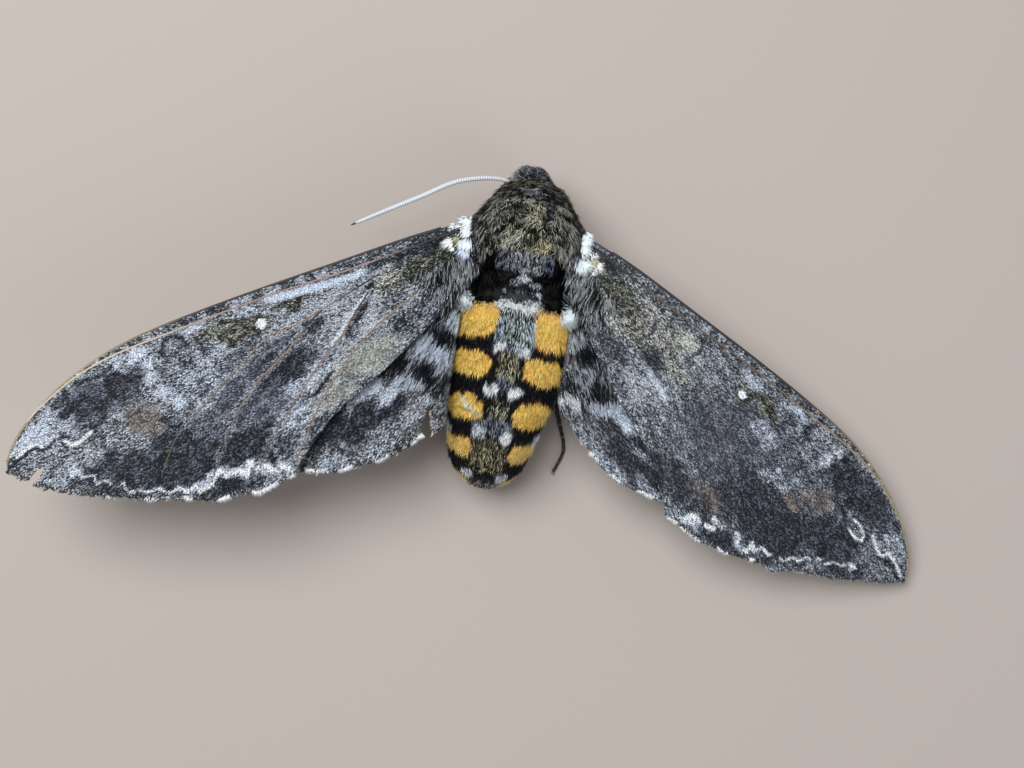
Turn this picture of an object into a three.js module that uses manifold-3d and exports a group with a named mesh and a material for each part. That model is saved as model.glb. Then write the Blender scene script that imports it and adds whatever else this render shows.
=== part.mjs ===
// A large grey hawk moth at rest on a flat surface, wings half open, as a life-size museum model.
// Millimetres, +Z up, the head towards +Y and the moth's right towards +X; it stands on z = 0.
// Each named mesh is one closed piece, parted from its neighbours by a thin gap.
import * as THREE from "three";
import { mergeVertices } from "three/addons/utils/BufferGeometryUtils.js";
import Module from "manifold-3d";

const wasm = await Module();
wasm.setup();

// ---------------------------------------------------------------- driving dimensions
const GAP = 0.3; // air between neighbouring pieces
const FOREWING_LENGTH = 50; // hinge to apex
const FOREWING_THICKNESS = 0.55;
const HINDWING_LENGTH = 27; // hinge to apex
const HINDWING_THICKNESS = 0.5;
const HINDWING_DROP = 1.35; // middle of the forewing down to the middle of the hindwing
const WING_CAMBER = 0.8; // rise of the forewing's middle over its edges
const WING_TILT = 0.06; // rise towards the hind edge, per millimetre of chord
const CHORD_FRONT = -6; // where the camber begins and ends across the wing
const CHORD_BACK = 13;
const HEAD_X = -0.35; // the head is held a little to the left of the body's midline
const HEAD_CENTRE = new THREE.Vector3(HEAD_X, 9.85, 6.4);
const HEAD_SIZE = new THREE.Vector3(2.25, 1.95, 2.8); // half width, half length, half height
const EYE_RADIUS = 1.25;
const EYE_PLACE = [1.62, 9.9, 6.3]; // the right eye, from the head's own midline
const ANTENNA_RADIUS = 0.29;
const ANTENNA_TIP_RADIUS = 0.25;
const TARSUS_HEIGHT = 0.26; // centre line of a foot above the ground
const TEGULA_DEPTH = 1.1; // thickness of the shoulder flaps
const TRUNK_SIDES = 24; // facets round the body

// The trunk's stations from the collar to the tail tip: where the centre line passes, and the
// section's half width, height over the line and depth under it, out to the tips of the coat.
const TRUNK = [
  { x: 0, y: 10.3, z: 7.6, half: 2.7, up: 2.6, down: 2.3 },
  { x: 0, y: 8.9, z: 7.7, half: 4.15, up: 4.3, down: 3.8 },
  { x: 0, y: 7.0, z: 8.0, half: 5.35, up: 5.7, down: 4.9 },
  { x: 0, y: 5.0, z: 8.2, half: 5.8, up: 6.2, down: 5.2 },
  { x: 0, y: 2.6, z: 8.3, half: 5.8, up: 6.1, down: 5.1 },
  { x: 0, y: 0.6, z: 8.3, half: 5.5, up: 4.9, down: 4.8 },
  { x: 0, y: -1.4, z: 8.4, half: 5.3, up: 4.1, down: 4.6 },
  { x: 0, y: -3.2, z: 8.5, half: 5.65, up: 4.9, down: 4.6 },
  { x: -0.1, y: -8.0, z: 8.3, half: 5.6, up: 5.15, down: 4.5 },
  { x: -0.45, y: -12.2, z: 7.6, half: 5.25, up: 4.95, down: 4.2 },
  { x: -0.8, y: -15.5, z: 6.2, half: 4.75, up: 4.6, down: 3.7 },
  { x: -0.95, y: -17.7, z: 4.1, half: 4.1, up: 4.05, down: 3.0 },
  { x: -1.0, y: -18.2, z: 2.0, half: 2.7, up: 2.8, down: 2.3 },
  { x: -1.0, y: -18.3, z: -0.4, half: 0.9, up: 1.0, down: 0.9 },
];

// Where the trunk is parted, as distances along +Y on the line of the back; the last two as stations.
const COLLAR_BACK = 8.7;
const THORAX_BACK = 1.1;
const METATHORAX_BACK = -0.9;
const SEGMENT_BACKS = [-2.7, -6.3, -10.4, -15.05, -18.9];
const SEGMENT_SIX_END = 11.6;
const TAIL_END = 13;
const SEGMENT_BULGE = 0.025; // how far a segment's hind rim stands over the next, as a share

// A forewing's outline in its own plane: along the span from the hinge, and across it towards the
// hind edge. The four runs meet at the costa's root, the apex, the tornus and the dorsum's root.
const FORE_COSTA = [[-1.3, -0.9], [4.2, -2], [12.4, -3.2], [20.6, -4.4], [28.8, -5.4], [34.5, -5.75],
  [39, -5.35], [43, -4.4], [46.6, -2.9], [49, -1.3], [FOREWING_LENGTH, 0.2]];
const FORE_TERMEN = [[FOREWING_LENGTH, 0.2], [44.5, 5.8], [38, 9.3], [31.5, 12.2], [25.2, 13.3]];
const FORE_DORSUM = [[-0.9, 2.8], [2, 4.4], [6, 6.2], [12.5, 8.3], [19, 10], [23.3, 12.1], [25.2, 13.3]];

// A hindwing's outline in the same way. On the left a small lobe stands off along the abdomen,
// parted by a notch; on the right it is folded against the wing.
const HIND_COSTA = [[-0.4, -0.6], [6, -2.4], [14, -3.2], [21, -2.9], [25.4, -1.8], [HINDWING_LENGTH, 0.4]];
const HIND_TERMEN = [[HINDWING_LENGTH, 0.4], [26.4, 5], [24.2, 8.2], [20.6, 10.3], [16.4, 11.6]];
const HIND_DORSUM = [[0.4, 2.2], [3, 5.2], [5.6, 8.3]];
const HIND_LOBES = {
  left: { termen: [[13.3, 11.8], [12.1, 12.3]], dorsum: [[8.2, 10.4], [10.5, 12.1], [12.1, 12.3]] },
  right: { termen: [[13.4, 11.5]], dorsum: [[7.6, 10.7], [10.2, 11.3], [13.4, 11.5]] },
};
const HIND_NOTCH = [[11, 9.8], [13.5, 11.2], [13.4, 12.6], [12.5, 12.4]];

// How each side holds its wings: the hinge, the apex, and how the wing falls between them.
const SIDES = {
  left: {
    sign: -1,
    hinge: new THREE.Vector3(-6.48, 3.96, 11),
    apex: new THREE.Vector3(-47.2, -25.25, 14),
    fall: 1,
    hindHinge: new THREE.Vector2(-6.2, 1.5),
    hindAngle: 45.4, // degrees from straight back
  },
  right: {
    sign: 1,
    hinge: new THREE.Vector3(6.58, 4.0, 10.5),
    apex: new THREE.Vector3(44.55, -24.7, 2),
    fall: 1.6,
    hindHinge: new THREE.Vector2(6.2, 1.5),
    hindAngle: 51.4,
  },
};

// Feelers and legs: centre lines, from the root outwards.
const ANTENNAE = {
  left: [[-1.5, 9.9, 7.7], [-3.7, 10.3, 8.5], [-7.5, 9.45, 9.2], [-11.3, 7.25, 9.4], [-14.6, 5.4, 9.1],
    [-17.2, 3.95, 8.6], [-17.9, 3.6, 8.3]],
  right: [[1.3, 9.9, 7.9], [2.6, 9.7, 8.05], [3.5, 9.2, 7.1], [4.5, 8.0, 5.7], [5.65, 5.6, 5.2],
    [6.5, 2.6, 6.2], [7.4, -0.6, 6.9], [8.2, -4, 6.9], [8.7, -7, 6.7]],
};
// Each leg as hip, the thigh's bend, knee, end of the shin and foot tip. The front and middle pairs
// are mirror images; the hind legs lie differently, and the right hind foot is bowed.
const toLeft = (path) => path.map(([x, y, z]) => [-x, y, z]);
const FRONT_LEG = [[1.8, 6.6, 3.4], [3.4, 7.6, 2.5], [4.6, 7.5, 2.2], [8.2, 3.4, 0.7],
  [12.2, 0.4, TARSUS_HEIGHT]];
const MID_LEG = [[2, 3.2, 3.6], [6, 2.2, 4.4], [9.5, 1, 4.9], [13.4, -3.2, 0.75],
  [17.8, -7.6, TARSUS_HEIGHT]];
const LEGS = {
  front_left: toLeft(FRONT_LEG),
  front_right: FRONT_LEG,
  mid_left: toLeft(MID_LEG),
  mid_right: MID_LEG,
  hind_left: [[-1.8, 0.6, 3.9], [-4.4, -1.8, 3.4], [-6, -4.4, 3.6], [-5.1, -11.2, 0.75],
    [-5, -16.4, TARSUS_HEIGHT]],
  hind_right: [[1.8, 0.6, 3.9], [4.6, -1.8, 3.6], [6.9, -4.4, 3.9], [5.7, -12, 0.75],
    [6.95, -16.3, TARSUS_HEIGHT], [6.2, -18.8, TARSUS_HEIGHT]],
};
const THIGH_RADIUS = 0.72;
const SHIN_RADIUS = 0.55;
const FOOT_RADIUS = 0.34;

// Palps curl up in front of the face; the tongue is coiled between them.
const PALP = [[0.85, 10.1, 3.3], [1.0, 11.3, 3.9], [0.95, 11.85, 5.2], [0.82, 11.7, 6.7], [0.75, 11.35, 7.6]];
const PALP_RADIUS = 0.68;
const TONGUE_COIL = { y: 10.6, z: 3.1, radius: 1.05, halfWidth: 0.28 };

// ---------------------------------------------------------------- materials
const coat = (color) => new THREE.MeshStandardMaterial({ color, roughness: 0.9, metalness: 0 });
const FINISHES = {
  thoraxCoat: coat(0x4f4a3e),
  headCoat: coat(0x55534f),
  blackCoat: coat(0x16161a),
  abdomenCoat: coat(0x9a6c2c),
  forewing: coat(0x504e52),
  hindwing: coat(0x5a5658),
  antenna: coat(0xc9ced2),
  leg: coat(0x3a3836),
  tongue: new THREE.MeshStandardMaterial({ color: 0x4a3020, roughness: 0.4, metalness: 0 }),
  eye: new THREE.MeshStandardMaterial({ color: 0x1a120e, roughness: 0.15, metalness: 0 }),
};

// ---------------------------------------------------------------- shaping and cutting
const vector = ([x, y, z]) => new THREE.Vector3(x, y, z);
const besideHead = (sign, [x, y, z]) => [HEAD_X + sign * x, y, z];
const flatCurve = (points) => new THREE.SplineCurve(points.map(([x, y]) => new THREE.Vector2(x, y)));

// Moves every vertex of a three.js geometry to place(vertex) and welds it into a solid.
function shaped(geometry, place) {
  const position = geometry.getAttribute("position");
  const vertex = new THREE.Vector3();
  for (let i = 0; i < position.count; i += 1) {
    const moved = place(vertex.fromBufferAttribute(position, i));
    position.setXYZ(i, moved.x, moved.y, moved.z);
  }
  return solid(geometry);
}

function solid(geometry) {
  geometry.deleteAttribute("normal");
  geometry.deleteAttribute("uv");
  const welded = mergeVertices(geometry, 1e-3);
  return new wasm.Manifold(new wasm.Mesh({
    numProp: 3,
    vertProperties: new Float32Array(welded.getAttribute("position").array),
    triVerts: new Uint32Array(welded.index.array),
  }));
}

function geometryOf(body) {
  const mesh = body.getMesh();
  const position = new Float32Array(mesh.numVert * 3);
  for (let i = 0; i < mesh.numVert; i += 1) {
    position.set(mesh.vertProperties.subarray(i * mesh.numProp, i * mesh.numProp + 3), i * 3);
  }
  const geometry = new THREE.BufferGeometry();
  geometry.setAttribute("position", new THREE.BufferAttribute(position, 3));
  geometry.setIndex(new THREE.BufferAttribute(mesh.triVerts, 1));
  geometry.computeVertexNormals();
  return geometry;
}

// The largest piece of a cut solid; slivers left beside it are dropped.
function largest(body) {
  const pieces = body.decompose();
  return pieces.reduce((best, piece) => (piece.volume() > best.volume() ? piece : best));
}

const group = new THREE.Group();
function add(name, body, material) {
  const mesh = new THREE.Mesh(geometryOf(largest(body)), material);
  mesh.name = name;
  group.add(mesh);
}

const FLOOR_BLOCK = solid(new THREE.BoxGeometry(200, 200, 20).translate(0, 0, -10));

// A round tube along a curve, its radius given by share of the length; its ends are closed.
function tube(points, radiusAt, sides, steps) {
  const curve = new THREE.CatmullRomCurve3(points.map(vector), false, "centripetal");
  const frames = curve.computeFrenetFrames(steps, false);
  return shaped(new THREE.CylinderGeometry(1, 1, 1, sides, steps), (v) => {
    const share = v.y + 0.5;
    const step = Math.round(share * steps);
    const radius = radiusAt(share);
    return curve.getPointAt(share)
      .addScaledVector(frames.normals[step], v.x * radius)
      .addScaledVector(frames.binormals[step], -v.z * radius);
  });
}

// ---------------------------------------------------------------- trunk
const spine = new THREE.CatmullRomCurve3(TRUNK.map((s) => new THREE.Vector3(s.x, s.y, s.z)));
const girth = new THREE.CatmullRomCurve3(TRUNK.map((s) => new THREE.Vector3(s.half, s.up, s.down)));
const LAST = TRUNK.length - 1;

// The section at a station: its centre, its outward direction on the back and its sizes.
function section(station) {
  const share = Math.min(Math.max(station / LAST, 0), 1);
  const along = spine.getTangent(share);
  return {
    centre: spine.getPoint(share),
    back: new THREE.Vector3(0, along.z, -along.y).normalize(),
    size: girth.getPoint(share),
  };
}

function trunkPoint(station, angle, grow) {
  const { centre, back, size } = section(station);
  const rise = Math.sin(angle) * ((Math.sin(angle) > 0 ? size.y : size.z) + grow);
  return new THREE.Vector3(centre.x + Math.cos(angle) * (size.x + grow), centre.y, centre.z)
    .addScaledVector(back, rise);
}

// The station at which the line of the back passes a distance along +Y.
function stationOfBack(y) {
  let [low, high] = [0, LAST - 1.5];
  for (let i = 0; i < 40; i += 1) {
    const middle = (low + high) / 2;
    if (trunkPoint(middle, Math.PI / 2, 0).y > y) low = middle;
    else high = middle;
  }
  return low;
}

// A length of the trunk between two stations, parted from the next ones by half a gap each.
function trunkSlice(from, to, steps, { grow = 0, bulge = 0, gap = GAP } = {}) {
  const reach = section(from).centre.distanceTo(section(to).centre);
  const trim = ((gap / 2) * (to - from)) / reach;
  return shaped(new THREE.CylinderGeometry(1, 1, 1, TRUNK_SIDES, steps), (v) => {
    const share = 0.5 - v.y;
    const station = from + trim + (to - from - 2 * trim) * share;
    const radius = Math.hypot(v.x, v.z);
    const swell = bulge * Math.sin(Math.PI * Math.min(1, share * 0.8 + 0.1));
    const middle = trunkPoint(station, 0, grow).add(trunkPoint(station, Math.PI, grow)).multiplyScalar(0.5);
    const rim = trunkPoint(station, Math.atan2(v.z, v.x), grow);
    return middle.lerp(rim, radius * (1 + swell));
  });
}

const STATIONS = {
  collar: stationOfBack(COLLAR_BACK),
  thorax: stationOfBack(THORAX_BACK),
  metathorax: stationOfBack(METATHORAX_BACK),
  segments: SEGMENT_BACKS.map(stationOfBack),
};

// The whole trunk, grown by a gap, which every limb and wing is cut back from.
const GROWN_TRUNK = trunkSlice(0, TAIL_END, 32, { grow: GAP, gap: -GAP });

// ---------------------------------------------------------------- head
function headSolid(grow) {
  return shaped(new THREE.SphereGeometry(1, 20, 12), (v) => {
    const face = 1 - 0.16 * Math.max(0, -v.z) * Math.max(0, v.y); // narrower towards the mouth
    return new THREE.Vector3(
      HEAD_CENTRE.x + v.x * face * (HEAD_SIZE.x + grow),
      HEAD_CENTRE.y + v.y * (HEAD_SIZE.y + grow),
      HEAD_CENTRE.z + v.z * (HEAD_SIZE.z + grow),
    );
  });
}

function eyeSolid(centre, grow) {
  return shaped(new THREE.SphereGeometry(EYE_RADIUS + grow, 14, 10), (v) => v.add(centre));
}

function makeHead() {
  const eyes = [-1, 1].map((sign) => vector(besideHead(sign, EYE_PLACE)));
  let head = headSolid(0);
  for (const centre of eyes) head = head.subtract(eyeSolid(centre, GAP));
  add("head", head, FINISHES.headCoat);
  const grownHead = headSolid(GAP);
  ["left", "right"].forEach((side, i) => {
    const sign = i ? 1 : -1;
    const eye = eyeSolid(eyes[i], 0).subtract(GROWN_TRUNK);
    add(`eye_${side}`, eye, FINISHES.eye);
    const path = PALP.map((place) => besideHead(sign, place));
    const palp = tube(path, (t) => PALP_RADIUS * Math.sin(Math.PI * (0.2 + 0.72 * t)) ** 0.7, 8, 6)
      .subtract(grownHead).subtract(eyeSolid(eyes[i], GAP));
    add(`palp_${side}`, palp, FINISHES.headCoat);
    const antenna = antennaSolid(side, 0).subtract(grownHead).subtract(eyeSolid(eyes[i], GAP));
    add(`antenna_${side}`, antenna, FINISHES.antenna);
  });
}

// A hawk moth's feeler thickens past the middle and ends in a small point.
function antennaSolid(side, grow) {
  return tube(ANTENNAE[side], (t) => {
    const swelling = 0.85 + 0.2 * Math.sin(Math.PI * Math.min(1, t * 1.1));
    const point = Math.sqrt(Math.min(1, (1.02 - t) / 0.12));
    return Math.max(ANTENNA_TIP_RADIUS, ANTENNA_RADIUS * swelling * point) + grow;
  }, 6, 18);
}

function makeTongue() {
  const { y, z, radius, halfWidth } = TONGUE_COIL;
  const profile = [[0, -0.6], [0.35, -0.5], [0.6, -1], [0.9, -1], [1, 0], [0.9, 1], [0.6, 1], [0.35, 0.5],
    [0, 0.6]].map(([r, w]) => new THREE.Vector2(r * radius, w * halfWidth));
  const coil = solid(new THREE.LatheGeometry(profile, 12).rotateZ(-Math.PI / 2).translate(HEAD_X, y, z));
  add("tongue", coil.subtract(headSolid(GAP)).subtract(GROWN_TRUNK), FINISHES.tongue);
}

// ---------------------------------------------------------------- thorax and abdomen
// A shoulder flap's outline from above: it runs from the collar back past the wing's root.
function tegulaCutter(sign, grow) {
  const outline = new THREE.Shape(
    new THREE.SplineCurve([
      [3.0 - grow, 8.2 + grow], [5.2, 8.4 + grow], [7.5, 5.5], [7.5, 0.9 - grow], [5.4, 0.4 - grow],
      [4.1 - grow, 3.0], [2.9 - grow, 5.6], [2.7 - grow, 7.2],
    ].map(([x, y]) => new THREE.Vector2(sign * x, y))).getPoints(14),
  );
  const block = new THREE.ExtrudeGeometry(outline, { depth: 12, bevelEnabled: false, steps: 1 });
  const floor = 9.4 - grow;
  return solid(block.translate(0, 0, floor));
}

function makeThorax() {
  const { collar, thorax, metathorax } = STATIONS;
  const outer = trunkSlice(collar, thorax, 6);
  const bed = trunkSlice(collar, thorax, 6, { grow: -TEGULA_DEPTH, gap: -2 * GAP });
  const deeper = trunkSlice(collar, thorax, 6, { grow: -TEGULA_DEPTH - GAP, gap: -2 * GAP });
  let middle = outer.subtract(antennaSolid("right", GAP));
  for (const [side, sign] of [["left", -1], ["right", 1]]) {
    add(`tegula_${side}`, outer.subtract(bed).intersect(tegulaCutter(sign, 0)), FINISHES.thoraxCoat);
    middle = middle.subtract(tegulaCutter(sign, GAP).subtract(deeper));
  }
  add("thorax", middle, FINISHES.thoraxCoat);
  const ruff = trunkSlice(0, collar, 3).subtract(headSolid(GAP))
    .subtract(antennaSolid("left", GAP)).subtract(antennaSolid("right", GAP));
  add("collar", ruff, FINISHES.thoraxCoat);
  add("metathorax", trunkSlice(thorax, metathorax, 3), FINISHES.blackCoat);
}

function makeAbdomen() {
  const ends = [STATIONS.metathorax, ...STATIONS.segments, SEGMENT_SIX_END];
  ends.slice(1).forEach((end, i) => {
    const finish = i ? FINISHES.abdomenCoat : FINISHES.blackCoat;
    const bulge = i ? SEGMENT_BULGE : 0;
    add(`abdomen_${i + 1}`, trunkSlice(ends[i], end, i ? 3 : 2, { bulge }), finish);
  });
  const tail = trunkSlice(SEGMENT_SIX_END, TAIL_END, 4, { bulge: SEGMENT_BULGE }).subtract(FLOOR_BLOCK);
  add("abdomen_7", tail, FINISHES.abdomenCoat);
}

// ---------------------------------------------------------------- wings
// A patch spanned by an outline's four runs, in the wing's own plane.
function wingPatch(costaPoints, termenPoints, dorsumPoints) {
  const [costa, termen, dorsum] = [costaPoints, termenPoints, dorsumPoints].map(flatCurve);
  return (u, v) => {
    const farEdge = costa.getPoint(1).lerp(dorsum.getPoint(1), v);
    const bow = termen.getPoint(v).sub(farEdge).multiplyScalar(u ** 1.5);
    return costa.getPoint(u).lerp(dorsum.getPoint(u), v).add(bow);
  };
}

// Height of a forewing's middle surface over a place in its plane.
function wingHeight(side, s, t) {
  const { hinge, apex, fall } = side;
  const share = Math.min(Math.max(s / FOREWING_LENGTH, 0), 1.1);
  const across = THREE.MathUtils.clamp((t - CHORD_FRONT) / (CHORD_BACK - CHORD_FRONT), 0, 1);
  const arch = Math.sin(Math.PI * across) * Math.sin(Math.PI * Math.min(share, 1));
  return hinge.z + (apex.z - hinge.z) * share ** fall + WING_CAMBER * arch + WING_TILT * t;
}

// A forewing's plane seen from above: span and chord directions on the ground plan.
function spanAxes(side) {
  const span = new THREE.Vector2(side.apex.x - side.hinge.x, side.apex.y - side.hinge.y);
  const reach = span.length() / FOREWING_LENGTH;
  span.normalize();
  const chord = new THREE.Vector2(side.sign * span.y, -side.sign * span.x);
  return { span, chord, reach };
}

// A plate of even thickness over a patch. The thickness is signed, as one side's plate is the
// mirror image of the other's.
function wingPlate(patch, lay, thickness, [across, down]) {
  return shaped(new THREE.BoxGeometry(1, 1, 1, across, down, 1), (v) => (
    lay(patch(v.x + 0.5, v.y + 0.5), v.z * thickness)
  ));
}

function forewing(side) {
  const { span, chord, reach } = spanAxes(side);
  const lay = (place, rise) => new THREE.Vector3(
    side.hinge.x + span.x * place.x * reach + chord.x * place.y,
    side.hinge.y + span.y * place.x * reach + chord.y * place.y,
    wingHeight(side, place.x, place.y) + rise,
  );
  const patch = wingPatch(FORE_COSTA, FORE_TERMEN, FORE_DORSUM);
  return wingPlate(patch, lay, -side.sign * FOREWING_THICKNESS, [16, 8]);
}

function hindwing(side, name) {
  const { span, chord, reach } = spanAxes(side);
  const angle = THREE.MathUtils.degToRad(side.hindAngle);
  const hindSpan = new THREE.Vector2(side.sign * Math.sin(angle), -Math.cos(angle));
  const hindChord = new THREE.Vector2(side.sign * hindSpan.y, -side.sign * hindSpan.x);
  const lay = (place, rise) => {
    const ground = side.hindHinge.clone()
      .addScaledVector(hindSpan, place.x).addScaledVector(hindChord, place.y);
    const over = ground.clone().sub(new THREE.Vector2(side.hinge.x, side.hinge.y));
    const height = wingHeight(side, over.dot(span) / reach, over.dot(chord));
    return new THREE.Vector3(ground.x, ground.y, height - HINDWING_DROP + rise);
  };
  const { termen, dorsum } = HIND_LOBES[name];
  const patch = wingPatch(HIND_COSTA, [...HIND_TERMEN, ...termen], [...HIND_DORSUM, ...dorsum]);
  const plate = wingPlate(patch, lay, -side.sign * HINDWING_THICKNESS, [11, 8]);
  if (name === "right") return plate;
  const notch = new THREE.Shape(HIND_NOTCH.map(([x, y]) => {
    const corner = lay(new THREE.Vector2(x, y), 0);
    return new THREE.Vector2(corner.x, corner.y);
  }));
  return plate.subtract(solid(new THREE.ExtrudeGeometry(notch, { depth: 20, bevelEnabled: false })));
}

function makeWings() {
  for (const [name, side] of Object.entries(SIDES)) {
    for (const [kind, make] of [["forewing", forewing], ["hindwing", hindwing]]) {
      add(`${kind}_${name}`, make(side, name).subtract(GROWN_TRUNK), FINISHES[kind]);
    }
  }
}

// ---------------------------------------------------------------- legs
// Thick thigh, thinner shin, thin foot with a slight swelling at each joint.
function legRadius(t) {
  const thigh = THREE.MathUtils.smoothstep(t, 0.3, 0.42);
  const shin = THREE.MathUtils.smoothstep(t, 0.6, 0.7);
  return THREE.MathUtils.lerp(THREE.MathUtils.lerp(THIGH_RADIUS, SHIN_RADIUS, thigh), FOOT_RADIUS, shin);
}

function makeLegs() {
  for (const [name, path] of Object.entries(LEGS)) {
    const [, , , ankle, foot] = path;
    const instep = ankle.map((value, i) => (i < 2 ? value + (foot[i] - value) * 0.3 : TARSUS_HEIGHT));
    const points = [...path.slice(0, 4), instep, ...path.slice(4)];
    const leg = tube(points, legRadius, 7, 15).subtract(GROWN_TRUNK).subtract(FLOOR_BLOCK);
    add(`leg_${name}`, leg, FINISHES.leg);
  }
}

makeHead();
makeTongue();
makeThorax();
makeAbdomen();
makeWings();
makeLegs();

// The origin is the middle of the whole model's footprint, on the ground.
const extent = new THREE.Box3().setFromObject(group);
const footprint = extent.getCenter(new THREE.Vector3());
group.position.set(-footprint.x, -footprint.y, 0);

export default group;
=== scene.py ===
"""Dresses the solid model of a resting hawk moth: skin, fur, wing scales, eyes, feelers, tongue and legs."""

import math

import bpy
import numpy as np
from mathutils import Matrix, Vector, kdtree


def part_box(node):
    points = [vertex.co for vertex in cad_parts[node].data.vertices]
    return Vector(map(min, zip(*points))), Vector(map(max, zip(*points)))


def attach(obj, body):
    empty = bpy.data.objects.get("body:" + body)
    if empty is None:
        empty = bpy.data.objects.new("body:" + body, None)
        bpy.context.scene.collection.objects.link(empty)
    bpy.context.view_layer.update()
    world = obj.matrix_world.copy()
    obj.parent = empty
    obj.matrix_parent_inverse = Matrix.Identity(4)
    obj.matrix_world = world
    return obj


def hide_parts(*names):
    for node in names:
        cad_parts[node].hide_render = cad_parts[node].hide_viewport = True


bl_info = {
    "name": "Hawk moth",
    "version": (1, 0, 0),
    "blender": (4, 5, 0),
    "location": "3D View > Sidebar > Hawk moth",
    "description": "Skin, fur and wing scales for the solid model of a resting hawk moth",
    "category": "Object",
}

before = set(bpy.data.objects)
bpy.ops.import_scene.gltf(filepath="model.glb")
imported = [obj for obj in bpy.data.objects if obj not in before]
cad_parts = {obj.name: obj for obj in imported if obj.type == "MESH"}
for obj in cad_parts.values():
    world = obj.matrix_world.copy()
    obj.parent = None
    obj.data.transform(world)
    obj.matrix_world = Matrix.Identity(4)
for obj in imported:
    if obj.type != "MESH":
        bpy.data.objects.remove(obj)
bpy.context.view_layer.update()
BAKE_MAP = "OFBake"
COAT_COLOUR = "Coat"
TUFT_PATCH = 0.003  # width of one tuft's place on the bake map

# ------------------------------------------------------------------ places
# Everything is worked out in millimetres in the moth's own frame: x = 0 on its midline and to its
# right, y forward, z up from the ground. HOME moves that frame to the solid model's.
MM = 0.001
HEAD_FRONT = 11.8
HEAD_X = -0.35  # the head is held a little to the left
EYE_BOXES = [np.array(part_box(name)) / MM for name in ("eye_left", "eye_right")]
HOME = np.array([
    np.mean([box[:, 0].mean() for box in EYE_BOXES]) - HEAD_X,
    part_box("head")[1][1] / MM - HEAD_FRONT,
    0.0,
])

# The trunk from collar to tail tip, out to the tips of the coat: centre line, then half width,
# height over the line and depth under it.
TRUNK = np.array([
    (0, 10.3, 7.6, 2.7, 2.6, 2.3),
    (0, 8.9, 7.7, 4.15, 4.3, 3.8),
    (0, 7.0, 8.0, 5.35, 5.7, 4.9),
    (0, 5.0, 8.2, 5.8, 6.2, 5.2),
    (0, 2.6, 8.3, 5.8, 6.1, 5.1),
    (0, 0.6, 8.3, 5.5, 4.9, 4.8),
    (0, -1.4, 8.4, 5.3, 4.1, 4.6),
    (0, -3.2, 8.5, 5.65, 4.9, 4.6),
    (-0.1, -8.0, 8.3, 5.6, 5.15, 4.5),
    (-0.45, -12.2, 7.6, 5.25, 4.95, 4.2),
    (-0.8, -15.5, 6.2, 4.75, 4.6, 3.7),
    (-0.95, -17.7, 4.1, 4.1, 4.05, 3.0),
    (-1.0, -18.2, 2.0, 2.7, 2.8, 2.3),
    (-1.0, -18.3, -0.4, 0.9, 1.0, 0.9),
])
LAST_STATION = len(TRUNK) - 1
TAIL_STATION = 12.75  # where the tail meets the ground
HEAD_CENTRE = np.array([HEAD_X, 9.85, 6.4])
HEAD_SIZE = np.array([2.25, 1.95, 2.8])
EYE_PLACE = np.array([1.62, 9.9, 6.3])  # the right eye, from the head's own midline
EYE_RADIUS = 1.25
PALP = [(0.85, 10.1, 3.3), (1.0, 11.3, 3.9), (0.95, 11.85, 5.2), (0.82, 11.7, 6.7), (0.75, 11.35, 7.6)]
PALP_RADIUS = 0.68
DOME_CENTRE, DOME_RADIUS = np.array([HEAD_X - 0.05, 9.9]), 2.3  # the rounded outline of the head's hair
TONGUE_CENTRE = np.array([HEAD_X, 10.6, 3.1])
# The left feeler reaches out; the right one lies back under the thorax's flank.
FEELERS = {
    "left": [
        (-0.9, 10.1, 7.6), (-1.6, 10, 7.9), (-3.7, 10.3, 8.5), (-7.5, 9.45, 9.2), (-11.3, 7.25, 9.4),
        (-14.6, 5.4, 9.1), (-17.2, 3.95, 8.6), (-17.9, 3.6, 8.3),
    ],
    "right": [
        (1.3, 9.9, 7.9), (2.5, 9.65, 7.9), (3.25, 9.1, 6.95), (4.15, 8, 5.6), (5.25, 5.6, 5.1),
        (6.15, 2.6, 6), (7.3, -0.6, 6.8), (8.2, -4, 6.9), (8.7, -7, 6.7),
    ],
}
FOOT_HEIGHT = 0.26
LEGS = {
    "front": {"right": [(1.8, 6.6, 3.4), (3.4, 7.6, 2.5), (4.6, 7.5, 2.2), (8.2, 3.4, 0.7),
                        (12.2, 0.4, FOOT_HEIGHT)]},
    "mid": {"right": [(2, 3.2, 3.6), (6, 2.2, 4.4), (9.5, 1, 4.9), (13.4, -3.2, 0.75),
                      (17.8, -7.6, FOOT_HEIGHT)]},
    "hind": {
        "left": [(-1.8, 0.6, 3.9), (-4.4, -1.8, 3.4), (-6, -4.4, 3.6), (-5.1, -11.2, 0.75),
                 (-5, -16.4, FOOT_HEIGHT)],
        "right": [(1.8, 0.6, 3.9), (4.6, -1.8, 3.6), (6.9, -4.4, 3.9), (5.7, -12, 0.75),
                  (6.95, -16.3, FOOT_HEIGHT), (6.2, -18.8, FOOT_HEIGHT)],
    },
}
for pair_paths in LEGS.values():
    pair_paths.setdefault("left", [(-x, y, z) for x, y, z in pair_paths["right"]])

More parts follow.
